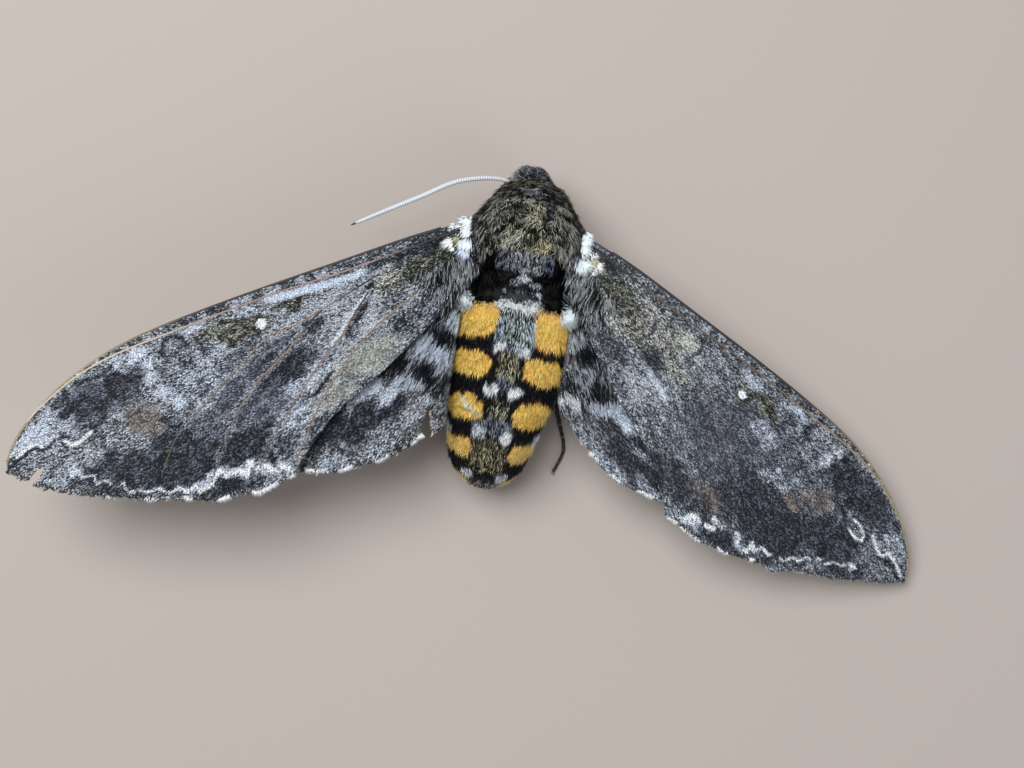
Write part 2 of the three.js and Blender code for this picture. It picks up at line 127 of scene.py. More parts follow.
FORE_LENGTH = 50.0
FORE_COSTA = [
    (-1.3, -0.9), (4.2, -2), (12.4, -3.2), (20.6, -4.4), (28.8, -5.4), (34.5, -5.75), (39, -5.35),
    (43, -4.4), (46.6, -2.9), (49, -1.3), (50, 0.2),
]
FORE_TERMENS = {
    "left": [
        (50, 0.2), (49.3, 1), (48.4, 1.9), (48.2, 2.6), (46.9, 3.6), (45.8, 4.6), (44.4, 5.6), (42.4, 6.8),
        (40.6, 7.9), (39.1, 8.9), (36.9, 9.9), (35.4, 10.8), (34.1, 11.5), (33, 12.2), (31.2, 12.5),
        (29.9, 13), (29.2, 13.4), (27.4, 13.5), (25.2, 13.3),
    ],
    "right": [
        (50, 0.2), (49.1, 1.1), (47.7, 2.3), (46.4, 3.2), (45.2, 4.1), (43.6, 5.4), (42.4, 6.2), (40.9, 7),
        (39.7, 7.8), (38.6, 8.8), (38, 9.6), (36.3, 9.8), (35.2, 10.4), (33.8, 11), (32.6, 11.7),
        (31, 12.1), (29.7, 12.6), (27.4, 13), (25.2, 13.1),
    ],
}
FORE_DORSUM = [(-0.9, 2.8), (2, 4.4), (6, 6.2), (12.5, 8.3), (19, 10), (23.3, 12.1), (25.2, 13.3)]
HIND_COSTA = [(-0.4, -0.6), (6, -2.4), (14, -3.2), (21, -2.9), (25.4, -1.8), (27, 0.4)]
HIND_TERMEN = [(27, 0.4), (26.4, 5), (24.2, 8.2), (20.6, 10.3), (16.4, 11.6)]
HIND_DORSUM = [(0.4, 2.2), (3, 5.2), (5.6, 8.3)]
HIND_LOBES = {
    "left": ([(13.3, 11.8), (12.1, 12.3)], [(8.2, 10.4), (10.5, 12.1), (12.1, 12.3)]),
    "right": ([(13.4, 11.5)], [(7.6, 10.7), (10.2, 11.3), (13.4, 11.5)]),
}
HIND_NOTCH = [(11, 9.8), (13.5, 11.2), (13.4, 12.6), (12.5, 12.4)]
HIND_DROP = 1.35  # how far the hindwing lies under the forewing
WING_CAMBER = 0.8
WING_TILT = 0.06  # rise for each millimetre towards the hind edge
CHORD_RUN = (-6.0, 13.0)  # front and hind edge, for the camber
# Each side's sign, the forewing's hinge and tip, how soon its height falls, and the hindwing's hinge
# and angle to the body.
SIDES = {
    "left": dict(sign=-1, hinge=(-6.48, 3.96, 11), apex=(-47.2, -25.25, 14), fall=1.0,
                 hind_hinge=(-6.2, 1.5), hind_angle=math.radians(45.4)),
    "right": dict(sign=1, hinge=(6.58, 4.0, 10.5), apex=(44.55, -24.7, 2), fall=1.6,
                  hind_hinge=(6.2, 1.5), hind_angle=math.radians(51.4)),
}
WINGS = [(kind, side) for kind in ("fore", "hind") for side in SIDES]


# ------------------------------------------------------------------ small tools
def tone(red, green, blue):
    """A screen colour, 0 to 255, as linear light."""
    c = np.array([red, green, blue]) / 255
    return np.where(c <= 0.04045, c / 12.92, ((c + 0.055) / 1.055) ** 2.4)


def unit(v):
    """Directions of length 1."""
    return v / np.maximum(np.linalg.norm(v, axis=-1, keepdims=True), 1e-12)


def along_surface(lie, up):
    """Directions laid flat on the surface that faces up."""
    return unit(lie - up * np.sum(lie * up, 1)[:, None])


def mix(a, b, share):
    """From a to b by each place's share."""
    return a + (b - a) * np.asarray(share)[..., None]


def smooth(x, low, high):
    """Rises from 0 at low to 1 at high; falls where low is the greater."""
    w = np.clip((np.asarray(x, float) - low) / (high - low), 0, 1)
    return w * w * (3 - 2 * w)


def window(x, low, high, soft):
    """1 between low and high, falling to 0 over a soft edge."""
    return smooth(x, low - soft, low + soft) * smooth(x, high + soft, high - soft)


def spot(x, y, centre, radii, soft):
    """1 inside an ellipse and 0 outside it, over a soft edge given as a share of its radius."""
    reach = np.hypot((x - centre[0]) / radii[0], (y - centre[1]) / radii[1])
    return smooth(reach, 1 + soft, 1 - soft)


def line_distance(x, y, points):
    """Distance from each place to a line through points."""
    best = np.full(np.shape(x), 1e9)
    for (x0, y0), (x1, y1) in zip(points[:-1], points[1:]):
        dx, dy = x1 - x0, y1 - y0
        along = np.clip(((x - x0) * dx + (y - y0) * dy) / (dx * dx + dy * dy), 0, 1)
        best = np.minimum(best, np.hypot(x - x0 - along * dx, y - y0 - along * dy))
    return best


def stroke(x, y, points, width, soft):
    """1 on a drawn line of that width and 0 beside it."""
    return smooth(line_distance(x, y, points), width / 2 + soft, np.maximum(width / 2 - soft, 0))


NOISE_SHIFT = 31.7  # how far apart the noises of two seeds lie
NOISE_PRIMES = (73856093, 19349663, 83492791, 1274126177)
NOISE_LEVELS = 0xFFFFF
EVEN_STEPS = np.array([0.7548776662466927, 0.5698402909980532])  # steps that never line up in a square


def mottle(points, size, seed):
    """Soft noise of 0 to 1 with blotches of that size, the same for the same seed."""
    q = np.asarray(points, float) / size + NOISE_SHIFT * seed
    cell = np.floor(q).astype(np.int64)
    w = q - cell
    w = w * w * (3 - 2 * w)
    total = np.zeros(len(q))
    for corner in range(2 ** q.shape[1]):
        picks = [(corner >> k) & 1 for k in range(q.shape[1])]
        mixed = np.zeros(len(q), dtype=np.int64)
        weight = np.ones(len(q))
        for k, pick in enumerate(picks):
            mixed ^= (cell[:, k] + pick) * NOISE_PRIMES[k]
            weight *= w[:, k] if pick else 1 - w[:, k]
        mixed = (mixed ^ (mixed >> 13)) * NOISE_PRIMES[3]
        total += weight * ((mixed & NOISE_LEVELS) / NOISE_LEVELS)
    return total


def even_points(count, seed):
    """Evenly spread places in the unit square."""
    i = np.arange(count) + 0.5
    shift = np.random.default_rng(seed).random(2)
    return (i[:, None] * EVEN_STEPS + shift) % 1


def curve_between(b, start, c, end, w):
    """The smooth run from b to c that leaves along start and arrives along end; w runs 0 to 1."""
    return (b * (2 * w**3 - 3 * w**2 + 1) + start * (w**3 - 2 * w**2 + w)
            + c * (3 * w**2 - 2 * w**3) + end * (w**3 - w**2))


def spline(points, share):
    """Places on a smooth line through points, rounder where they lie apart; share runs 0 to 1."""
    p = np.asarray(points, float)
    n = len(p) - 1
    ends = np.vstack([2 * p[0] - p[1], p, 2 * p[-1] - p[-2]])
    x = np.clip(np.atleast_1d(np.asarray(share, float)), 0, 1) * n
    i = np.minimum(x.astype(int), n - 1)
    w = (x - i)[:, None]
    a, b, c, d = (ends[i + k] for k in range(4))
    ab, bc, cd = (np.sqrt(np.linalg.norm(q - p, axis=1, keepdims=True))
                  for p, q in ((a, b), (b, c), (c, d)))
    start = ((b - a) / ab - (c - a) / (ab + bc) + (c - b) / bc) * bc
    end = ((c - b) / bc - (d - b) / (bc + cd) + (d - c) / cd) * bc
    return curve_between(b, start, c, end, w)


def flat_spline(points, share):
    """The same for an outline in a plane, with even roundness."""
    p = np.asarray(points, float)
    n = len(p) - 1
    x = np.clip(np.asarray(share, float), 0, 1) * n
    i = np.minimum(x.astype(int), n - 1)
    w = (x - i)[..., None]
    a, b, c, d = p[np.maximum(i - 1, 0)], p[i], p[i + 1], p[np.minimum(i + 2, n)]
    return curve_between(b, (c - a) / 2, c, (d - b) / 2, w)


def inside(x, y, outline):
    """Whether each place lies within a closed outline."""
    odd = np.zeros(np.shape(x), bool)
    for (x0, y0), (x1, y1) in zip(outline, np.roll(outline, -1, axis=0)):
        crosses = (y0 > y) != (y1 > y)
        if y1 != y0:
            odd ^= crosses & (x < (x1 - x0) * (y - y0) / (y1 - y0) + x0)
    return odd


# ------------------------------------------------------------------ making pieces
def make_piece(name, points, faces, colours, finish, slot, uv=None, smooth_shaded=True, replaces=()):
    """One mesh of the moth from places in its own frame; faces are triangles or quads."""
    mesh = bpy.data.meshes.new(name)
    points = (np.asarray(points, float) + HOME) * MM
    faces = np.asarray(faces, dtype=np.int32)
    sides = faces.shape[1]
    mesh.vertices.add(len(points))
    mesh.vertices.foreach_set("co", points.astype(np.float32).ravel())
    mesh.loops.add(faces.size)
    mesh.loops.foreach_set("vertex_index", faces.ravel())
    mesh.polygons.add(len(faces))
    mesh.polygons.foreach_set("loop_start", np.arange(0, faces.size, sides, dtype=np.int32))
    mesh.polygons.foreach_set("use_smooth", np.full(len(faces), smooth_shaded))
    mesh.update(calc_edges=True)
    rgba = np.ones((len(points), 4), dtype=np.float32)
    rgba[:, :3] = np.clip(colours, 0, 1)
    layer = mesh.color_attributes.new(COAT_COLOUR, "FLOAT_COLOR", "POINT")
    layer.data.foreach_set("color", rgba.ravel())
    if uv is not None:
        bake = mesh.uv_layers.new(name=BAKE_MAP)
        bake.data.foreach_set("uv", np.asarray(uv, np.float32)[faces.ravel()].ravel())
    mesh.materials.append(finish)
    obj = bpy.data.objects.new(name, mesh)
    bpy.context.scene.collection.objects.link(obj)
    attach(obj, "root")
    if replaces:
        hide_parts(*replaces)
    return obj


LINE_SAMPLES = 400  # places at which a line's length is measured


def grid_faces(rows, columns, closed=False):
    """Quads over a grid of rows by columns of points; closed joins the last column to the first."""
    last = columns if closed else columns - 1
    r, c = np.meshgrid(np.arange(rows - 1), np.arange(last), indexing="ij")
    d = (c + 1) % columns
    quads = np.stack([r * columns + c, r * columns + d, (r + 1) * columns + d, (r + 1) * columns + c], -1)
    return quads.reshape(-1, 4)


def ring_directions(side, up, sides):
    """Directions out from a line to the points of each ring round it."""
    angle = full_turn(sides)
    return np.cos(angle)[None, :, None] * side[:, None] + np.sin(angle)[None, :, None] * up[:, None]


def tube(path, radius, sides, steps):
    """Rings along a smooth line, as points by step and side, with shares, outward normals and directions."""
    share = np.linspace(0, 1, LINE_SAMPLES)
    run = np.concatenate([[0], np.cumsum(np.linalg.norm(np.diff(spline(path, share), axis=0), axis=1))])
    even = np.interp(np.linspace(0, run[-1], steps + 1), run, share)
    ahead = unit(spline(path, even + 1e-3) - spline(path, even - 1e-3))
    t = np.linspace(0, 1, steps + 1)
    up = unit(np.array([0, 0, 1.0]) - ahead * ahead[:, 2:3])
    normal = ring_directions(np.cross(ahead, up), up, sides)
    return spline(path, even)[:, None] + normal * radius(t)[:, None, None], t, unit(normal), ahead


def tube_shell(rings):
    """A closed skin over a tube's rings: its points and quads, each end drawn in to its middle."""
    steps, sides, _ = rings.shape
    first, last = rings[:1].mean(1, keepdims=True), rings[-1:].mean(1, keepdims=True)
    rows = np.concatenate([np.repeat(first, sides, 1), rings, np.repeat(last, sides, 1)])
    return rows.reshape(-1, 3), grid_faces(steps + 2, sides, closed=True)


def one_colour(shell, colour):
    """A shell's points and quads, with one colour for all its points."""
    points, faces = shell
    return points, faces, np.tile(colour, (len(points), 1))


def join(parts):
    """Several (points, faces, colours[, uv]) as one."""
    offset, out = 0, [[] for _ in parts[0]]
    for part in parts:
        for k, values in enumerate(part):
            out[k].append(values + offset if k == 1 else values)
        offset += len(part[0])
    return [np.concatenate(values) for values in out]


# A blade of fur is a slim three-sided spike; these are its rings' places and widths between its two points.
LONG_BLADE = ((0.3, 1.0), (0.68, 0.8))
SHORT_BLADE = ((0.42, 1.0),)
BLADE_RIDGE = 0.32  # height of its ridge as a share of its width


def blades(root, lie, up, length, width, rise, bend, curl, inner, outer, uv, form):
    """Closed fur blades: they start along lie, lifted by rise, bend back to the body and curl sideways."""
    count = len(root)
    across = unit(np.cross(up, lie))
    length, width, rise, bend, curl = (np.broadcast_to(v, count)[:, None]
                                       for v in (length, width, rise, bend, curl))
    points, colours, maps = [], [], []
    for t, wide in ((0.0, 0.0), *form, (1.0, 0.0)):
        middle = root + length * (t * lie + (rise * t - bend * t * t) * up + curl * t * t * across)
        corners = [(-0.5, 0.0), (0.5, 0.0), (0.0, BLADE_RIDGE)] if wide else [(0, 0)]
        for sideways, lift in corners:
            points.append(middle + width * wide * (sideways * across + lift * up))
            # each blade's colour runs from inner at its root to outer at its tip; the callers darken the root
            # as painted shade in the coat and lighten the tip as painted light, each to its own degree
            colours.append(mix(inner, outer, np.full(count, t**0.7)))
            maps.append(uv + TUFT_PATCH * np.array([sideways, t - 0.5]))
    rings = len(form)
    per_blade = 3 * rings + 2
    faces = [(0, 1 + (j + 1) % 3, 1 + j) for j in range(3)]
    for k in range(rings - 1):
        for j in range(3):
            a, b = 1 + 3 * k + j, 1 + 3 * k + (j + 1) % 3
            faces += [(a, b, b + 3), (a, b + 3, a + 3)]
    end = 1 + 3 * (rings - 1)
    faces += [(end + j, end + (j + 1) % 3, per_blade - 1) for j in range(3)]
    all_faces = (np.arange(count)[:, None, None] * per_blade + np.array(faces)[None]).reshape(-1, 3)
    stacked = [np.stack(v, 1).reshape(count * per_blade, -1) for v in (points, colours, maps)]
    return stacked[0], all_faces, stacked[1], stacked[2]


def scales(root, lie, up, length, width, lift, colour, uv):
    """Closed kite-shaped wing scales, tilted so that each overlaps the next, darkened at the root as painted
    shade and lightened at the tip as painted light.
    """
    count = len(root)
    across = unit(np.cross(up, lie))
    length, width, lift = (np.broadcast_to(v, count)[:, None] for v in (length, width, lift))
    middle = root + 0.6 * length * lie + 0.75 * lift * up
    points = np.stack([
        root - 0.02 * up, middle - width / 2 * across,
        root + length * lie + lift * up, middle + width / 2 * across,
    ], 1)
    faces = np.array([(0, 2, 1), (0, 3, 2), (0, 1, 3), (1, 2, 3)])
    all_faces = (np.arange(count)[:, None, None] * 4 + faces[None]).reshape(-1, 3)
    maps = uv[:, None] + TUFT_PATCH * np.array([(0, -0.5), (-0.5, 0), (0, 0.5), (0.5, 0)])[None]
    # painted shade: each scale is darkened at its root, where the scale before it covers it, and lightened
    # past its own colour at the tip as painted light
    colours = colour[:, None] * np.array([0.45, 0.9, 1.2, 0.9])[None, :, None]
    return points.reshape(-1, 3), all_faces, colours.reshape(-1, 3), maps.reshape(-1, 2)


# ------------------------------------------------------------------ the trunk's surface
def trunk(station, angle, depth=0.0):
    """Places on the trunk, at a depth under the tips of the coat; angle 90 degrees is the back."""
    share = np.clip(station / LAST_STATION, 0, 1)
    centre = spline(TRUNK[:, :3], share)
    along = spline(TRUNK[:, :3], share + 1e-4) - spline(TRUNK[:, :3], share - 1e-4)
    back = unit(np.stack([0 * share, along[:, 2], -along[:, 1]], -1))
    half, height, under = spline(TRUNK[:, 3:], share).T
    c, s = np.cos(angle), np.sin(angle)
    out = np.stack([c * np.maximum(half - depth, 0.05), 0 * c, 0 * c], -1)
    return centre + out + back * (s * np.maximum(np.where(s > 0, height, under) - depth, 0.05))[:, None]


def trunk_frame(station, angle, depth):
    """Places, outward normals and directions to the tail."""
    place = trunk(station, angle, depth)
    tailward = unit(trunk(station + 0.02, angle, depth) - trunk(station - 0.02, angle, depth))
    around = unit(trunk(station, angle + 0.01, depth) - trunk(station, angle - 0.01, depth))
    return place, unit(np.cross(around, tailward)), tailward


def back_station(y):
    """The station at which the line of the back passes y."""
    stations = np.linspace(0, LAST_STATION - 1.5, 600)
    ys = trunk(stations, np.full(600, math.pi / 2))[:, 1]
    return float(np.interp(-y, -ys, stations))


def trunk_spread(count, low, high, seed):
    """Even places over the trunk between two stations, as stations and angles."""
    stations = np.linspace(low, high, 200)
    line = spline(TRUNK[:, :3], stations / LAST_STATION)
    girth = spline(TRUNK[:, 3:], stations / LAST_STATION)
    step = np.linalg.norm(np.gradient(line, axis=0), axis=1) + 0.25 * np.abs(np.gradient(girth[:, 0]))
    area = np.cumsum(step * (girth[:, 0] + girth[:, 1:].mean(1)))
    places = even_points(count, seed)
    station = np.interp(places[:, 0], area / area[-1], stations)
    return station, 2 * math.pi * places[:, 1]


def beside_trunk(place, margin):
    """Whether each place seen from above is clear of the abdomen's flank by a margin."""
    back = -TRUNK[:, 1]
    middle, half = (np.interp(-place[..., 1], back, TRUNK[:, k]) for k in (0, 3))
    waist = 0.8 * smooth(place[..., 1], -3.4, -2.0)
    return (np.abs(place[..., 0] - middle) > half + margin - waist) | (place[..., 1] > 0.4)


# ------------------------------------------------------------------ the head's surface
def beside_head(sign, place):
    """A place on one side of the head's own midline."""
    return np.array([HEAD_X + sign * place[0], place[1], place[2]])


def head_place(azimuth, height, depth):
    """Places on the head; azimuth 0 faces forward, height runs -90 to 90 degrees."""
    x = np.cos(height) * np.sin(azimuth)
    y = np.cos(height) * np.cos(azimuth)
    z = np.sin(height)
    face = 1 - 0.16 * np.maximum(-z, 0) * np.maximum(y, 0)
    size = HEAD_SIZE - np.reshape(depth, (-1, 1))
    return HEAD_CENTRE + np.stack([x * face, y, z], -1) * size


# ------------------------------------------------------------------ the wings' surfaces
def wing_outline(kind, side):
    """Front, outer and hind edge of a wing, in its plane."""
    if kind == "fore":
        termen = FORE_TERMENS[side]
        return FORE_COSTA, termen, FORE_DORSUM[:-1] + termen[-1:]
    termen, dorsum = HIND_LOBES[side]
    return HIND_COSTA, HIND_TERMEN + termen, HIND_DORSUM + dorsum


def wing_patch(kind, side, u, v):
    """Places in the wing's plane: u runs root to outer edge, v front to hind edge."""
    costa, termen, dorsum = wing_outline(kind, side)
    front, back = flat_spline(costa, u), flat_spline(dorsum, u)
    straight = mix(flat_spline(costa, np.ones_like(u)), flat_spline(dorsum, np.ones_like(u)), v)
    return mix(front, back, v) + (flat_spline(termen, v) - straight) * (u**1.5)[..., None]


def wing_surface(kind, side, s, t, rise=0.0):
    """Places over the wing's plane in the moth's frame, raised from the wing's middle surface."""
    hold = SIDES[side]
    sign, hinge, apex = hold["sign"], np.array(hold["hinge"]), np.array(hold["apex"])
    span = (apex - hinge)[:2]
    reach = np.linalg.norm(span) / FORE_LENGTH
    span = span / np.linalg.norm(span)
    chord = np.array([sign * span[1], -sign * span[0]])
    if kind == "fore":
        over = s[..., None] * span * reach + t[..., None] * chord
        fore_s, fore_t, drop = s, t, 0.0
    else:
        angle = hold["hind_angle"]
        hind_span = np.array([sign * math.sin(angle), -math.cos(angle)])
        hind_chord = np.array([sign * hind_span[1], -sign * hind_span[0]])
        over = np.array(hold["hind_hinge"]) + s[..., None] * hind_span + t[..., None] * hind_chord
        over = over - hinge[:2]
        fore_s, fore_t, drop = over @ span / reach, over @ chord, HIND_DROP
    share = np.clip(fore_s / FORE_LENGTH, 0, 1.1)
    across = np.clip((fore_t - CHORD_RUN[0]) / (CHORD_RUN[1] - CHORD_RUN[0]), 0, 1)
    arch = np.sin(math.pi * across) * np.sin(math.pi * np.minimum(share, 1))
    height = hinge[2] + (apex[2] - hinge[2]) * share ** hold["fall"] + WING_CAMBER * arch + WING_TILT * fore_t
    return np.concatenate([hinge[:2] + over, (height - drop + rise)[..., None]], -1)


def wing_frame(kind, side, s, t, rise):
    """Places, upward normals and directions from root to tip, for scales and hairs."""
    place = wing_surface(kind, side, s, t, rise)
    outward = unit(wing_surface(kind, side, s + 0.05, t, rise) - place)
    hindward = unit(wing_surface(kind, side, s, t + 0.05, rise) - place)
    up = unit(np.cross(outward, hindward))
    return place, up * np.sign(up[:, 2:3]), outward, hindward


# ------------------------------------------------------------------ settings
class BodyCoatSettings(bpy.types.PropertyGroup):
    hair_length: bpy.props.FloatProperty(
        name="Thorax hair", description="Length of the hair on the thorax",
        default=1.2 * MM, unit="LENGTH", precision=5)
    hair_width: bpy.props.FloatProperty(
        name="Hair width", description="Width of a thorax hair",
        default=0.078 * MM, unit="LENGTH", precision=5)
    pile_length: bpy.props.FloatProperty(
        name="Abdomen pile", description="Length of the hair on the abdomen",
        default=0.85 * MM, unit="LENGTH", precision=5)
    coat_depth: bpy.props.FloatProperty(
        name="Coat depth", description="Depth of the skin under the tips of the thorax coat",
        default=0.95 * MM, unit="LENGTH", precision=5)
    orange: bpy.props.FloatVectorProperty(
        name="Spot colour", description="Colour of the abdomen's spots",
        default=tuple(tone(255, 197, 99)), subtype="COLOR")
    olive: bpy.props.FloatVectorProperty(
        name="Thorax hairs", description="Colour of the pale hairs on the thorax",
        default=tuple(tone(188, 191, 180)), subtype="COLOR")


class WingSettings(bpy.types.PropertyGroup):
    scale_length: bpy.props.FloatProperty(
        name="Scale length", description="Length of a wing scale",
        default=0.36 * MM, unit="LENGTH", precision=5)
    scale_width: bpy.props.FloatProperty(
        name="Scale width", description="Width of a wing scale",
        default=0.125 * MM, unit="LENGTH", precision=5)
    membrane: bpy.props.FloatProperty(
        name="Membrane", description="Thickness of the bare wing",
        default=0.12 * MM, unit="LENGTH", precision=5)
    pale: bpy.props.FloatVectorProperty(
        name="Pale scales", description="Colour of the pale scales",
        default=tuple(tone(190, 199, 212)), subtype="COLOR")
    dark: bpy.props.FloatVectorProperty(
        name="Dark scales", description="Colour of the dark scales",
        default=tuple(tone(34, 38, 47)), subtype="COLOR")


class EyeSettings(bpy.types.PropertyGroup):
    colour: bpy.props.FloatVectorProperty(
        name="Eye colour", description="Colour of the eyes",
        default=tuple(tone(44, 30, 24)), subtype="COLOR")
    facet: bpy.props.FloatProperty(
        name="Facet", description="Width of an eye facet",
        default=0.075 * MM, unit="LENGTH", precision=5)


class StageSettings(bpy.types.PropertyGroup):
    floor: bpy.props.FloatVectorProperty(
        name="Floor colour", description="Colour of the floor",
        default=tuple(tone(180, 172, 167)), subtype="COLOR")
    camera_height: bpy.props.FloatProperty(
        name="Camera height", description="Height of the camera over the floor",
        default=160 * MM, unit="LENGTH")
    lamp: bpy.props.FloatProperty(
        name="Lamp", description="Power of the large overhead lamp", default=1.44, unit="POWER")


SETTINGS = {"moth_coat": BodyCoatSettings, "moth_wings": WingSettings, "moth_eyes": EyeSettings,
            "moth_stage": StageSettings}


def in_mm(value):
    return value / MM


# ------------------------------------------------------------------ finishes
EYE_CLOUDS = 1400  # dark clouds across a metre of eye
SKIN_BUMPS = (9000, 0.6)  # bumps across a metre of skin and how strong they are


def flecked(nodes, links, colour_out, size, depth):
    """Fine light and dark flecks over a colour."""
    place = nodes.new("ShaderNodeTexCoord")
    texture = nodes.new("ShaderNodeTexNoise")
    texture.inputs["Scale"].default_value = 1 / size
    texture.inputs["Detail"].default_value = 1.0
    links.new(place.outputs["Object"], texture.inputs["Vector"])
    level = nodes.new("ShaderNodeMapRange")
    level.inputs["From Min"].default_value, level.inputs["From Max"].default_value = 0.3, 0.7
    level.inputs["To Min"].default_value, level.inputs["To Max"].default_value = 1 - depth, 1 + depth
    links.new(texture.outputs["Fac"], level.inputs["Value"])
    layer = nodes.new("ShaderNodeMix")
    layer.data_type, layer.blend_type = "RGBA", "MULTIPLY"
    layer.inputs["Factor"].default_value = 1.0
    links.new(colour_out, layer.inputs["A"])
    links.new(level.outputs["Result"], layer.inputs["B"])
    return layer.outputs["Result"]


def finish(name, roughness, colour=None, bump=None, coat=0.0, specular=0.25, grain=None):
    """A material that takes its colour from the piece's own colours, or from one colour.

    A grain is the size of fine flecks over those colours and how far they lighten and darken."""
    material = bpy.data.materials.get(name)
    if material:
        return material
    material = bpy.data.materials.new(name)
    material.use_nodes = True
    nodes, links = material.node_tree.nodes, material.node_tree.links
    shader = nodes["Principled BSDF"]
    shader.inputs["Roughness"].default_value = roughness
    shader.inputs["Specular IOR Level"].default_value = specular
    shader.inputs["Coat Weight"].default_value = coat
    if colour is None:
        source = nodes.new("ShaderNodeVertexColor")
        source.layer_name = COAT_COLOUR
        colour_out = source.outputs["Color"]
        if grain:
            colour_out = flecked(nodes, links, colour_out, *grain)
        links.new(colour_out, shader.inputs["Base Color"])
    else:
        shader.inputs["Base Color"].default_value = (*colour, 1)
    if bump:
        scale, strength = bump
        texture = nodes.new("ShaderNodeTexNoise")
        texture.inputs["Scale"].default_value = scale
        place = nodes.new("ShaderNodeTexCoord")
        links.new(place.outputs["Object"], texture.inputs["Vector"])
        relief = nodes.new("ShaderNodeBump")
        relief.inputs["Strength"].default_value = strength
        relief.inputs["Distance"].default_value = 0.05 * MM
        links.new(texture.outputs["Fac"], relief.inputs["Height"])
        links.new(relief.outputs["Normal"], shader.inputs["Normal"])
    return material


def fur_finish(name="fur"):
    """Soft hair; the black of the saddle shines least."""
    return finish(name, 0.6, specular=0.02 if name == "fur_black" else 0.1)


def dusted_finish(name, roughness):
    """Wing scales, and the bare wing under them, with the same fine flecks."""
    return finish(name, roughness, specular=0.12, grain=(0.12 * MM, 0.62))


def eye_finish(settings):
    """Glossy brown with fine facets and a faint dark cloud."""
    material = finish("eye", 0.16, colour=settings.colour, coat=0.5)
    nodes, links = material.node_tree.nodes, material.node_tree.links
    shader = nodes["Principled BSDF"]
    place = nodes.new("ShaderNodeTexCoord")
    facets = nodes.new("ShaderNodeTexVoronoi")
    facets.feature = "DISTANCE_TO_EDGE"
    facets.inputs["Scale"].default_value = 1 / settings.facet
    facets.inputs["Randomness"].default_value = 0.25
    links.new(place.outputs["Object"], facets.inputs["Vector"])
    relief = nodes.new("ShaderNodeBump")
    relief.inputs["Strength"].default_value = 0.5
    relief.inputs["Distance"].default_value = 0.02 * MM
    links.new(facets.outputs["Distance"], relief.inputs["Height"])
    links.new(relief.outputs["Normal"], shader.inputs["Normal"])
    clouds = nodes.new("ShaderNodeTexNoise")
    clouds.inputs["Scale"].default_value = EYE_CLOUDS
    links.new(place.outputs["Object"], clouds.inputs["Vector"])
    ramp = nodes.new("ShaderNodeValToRGB")
    ramp.color_ramp.elements[0].position = 0.4
    ramp.color_ramp.elements[0].color = (*(np.array(settings.colour) * 0.4), 1)
    ramp.color_ramp.elements[1].position = 0.65
    ramp.color_ramp.elements[1].color = (*settings.colour, 1)
    links.new(clouds.outputs["Fac"], ramp.inputs["Fac"])
    links.new(ramp.outputs["Color"], shader.inputs["Base Color"])
    return material


# ------------------------------------------------------------------ body markings
ABDOMEN_STATION = back_station(-2.7)

GREY_BLACK = tone(17, 18, 18)
WARM_BLACK = tone(17, 17, 14)
UNDER_PALE = tone(206, 200, 188)
UNDER_DARK = tone(110, 104, 96)

# The hind edge of the thorax fur: places across the back and stations.
FUR_EDGE = ([-1, -0.9, -0.74, -0.6, -0.5, 0.56, 0.64, 0.84, 0.95, 1],
            [4.62, 4.42, 4.04, 3.82, 3.72, 3.72, 3.84, 4.12, 4.42, 4.62])

# Patches of the coat over the back, later ones over earlier ones. Each is a rounded box: from and to
# across the back (-1 left flank, 1 right flank), from and to along the stations, then the share of
# pale hairs in it, their colour and the colour of the dark ones between.
THORAX_PATCHES = [
    (-0.95, 0.95, 0.2, 1.7, 0.13, tone(156, 162, 156), GREY_BLACK),
    (-0.95, 0.95, -0.4, 0.6, 0.1, tone(156, 152, 134), WARM_BLACK),
    (0.8, 1.3, 0.5, 3.4, 0.08, tone(140, 134, 116), WARM_BLACK),
    (-1.3, -0.86, 0.5, 3.0, 0.12, tone(150, 148, 134), WARM_BLACK),
    (-0.3, 0.15, 0.8, 1.45, 0.36, tone(196, 200, 210), GREY_BLACK),
    (0.1, 0.34, 0.6, 1.3, 0.28, tone(184, 188, 204), GREY_BLACK),
    (-0.5, 0.55, 2.4, 4.2, 0.27, tone(206, 208, 186), WARM_BLACK),
    (-0.46, -0.12, 1.85, 2.75, 0.2, tone(150, 152, 140), GREY_BLACK),
    (0.24, 0.54, 1.5, 2.45, 0.22, tone(120, 120, 140), GREY_BLACK),
    (-0.16, 0.3, 1.7, 2.5, 0.38, tone(222, 222, 198), WARM_BLACK),
    (-0.4, 0.0, 2.95, 3.95, 0.42, tone(226, 230, 210), WARM_BLACK),
    (0.0, 0.5, 3.1, 3.95, 0.32, tone(214, 210, 178), WARM_BLACK),
    (-0.52, -0.3, 3.55, 3.85, 0.56, tone(236, 234, 218), WARM_BLACK),
]
WAIST_PATCHES = [
    (-0.52, 0.62, 3.7, 4.75, 0.5, tone(196, 202, 212), tone(9, 10, 13)),
    (-0.54, -0.32, 3.8, 4.7, 0.42, tone(160, 168, 188), tone(6, 7, 11)),
    (0.42, 0.64, 3.8, 4.7, 0.42, tone(156, 172, 204), tone(6, 7, 11)),
    (-0.02, 0.12, 4.4, 5.1, 0.8, tone(196, 202, 214), tone(40, 40, 48)),
    (-0.08, 0.22, 4.85, 5.35, 0.9, tone(214, 222, 236), tone(90, 94, 104)),
    (-0.22, 0.0, 5.1, 5.5, 0.5, tone(176, 180, 192), tone(16, 16, 20)),
    (0.18, 0.48, 5.15, 5.5, 0.55, tone(186, 192, 206), tone(16, 16, 20)),
    (-0.12, 0.18, 5.6, 6.0, 0.3, tone(150, 158, 172), tone(8, 8, 11)),
    (-0.26, 0.36, 5.95, 6.5, 0.42, tone(196, 208, 226), tone(8, 9, 13)),
    (-0.4, 0.3, 6.15, 6.5, 0.46, tone(200, 210, 228), tone(8, 9, 13)),
    (-0.1, 0.52, 6.2, 6.62, 0.5, tone(206, 218, 236), tone(8, 9, 13)),
]
BAND_BLACK = tone(9, 10, 14)
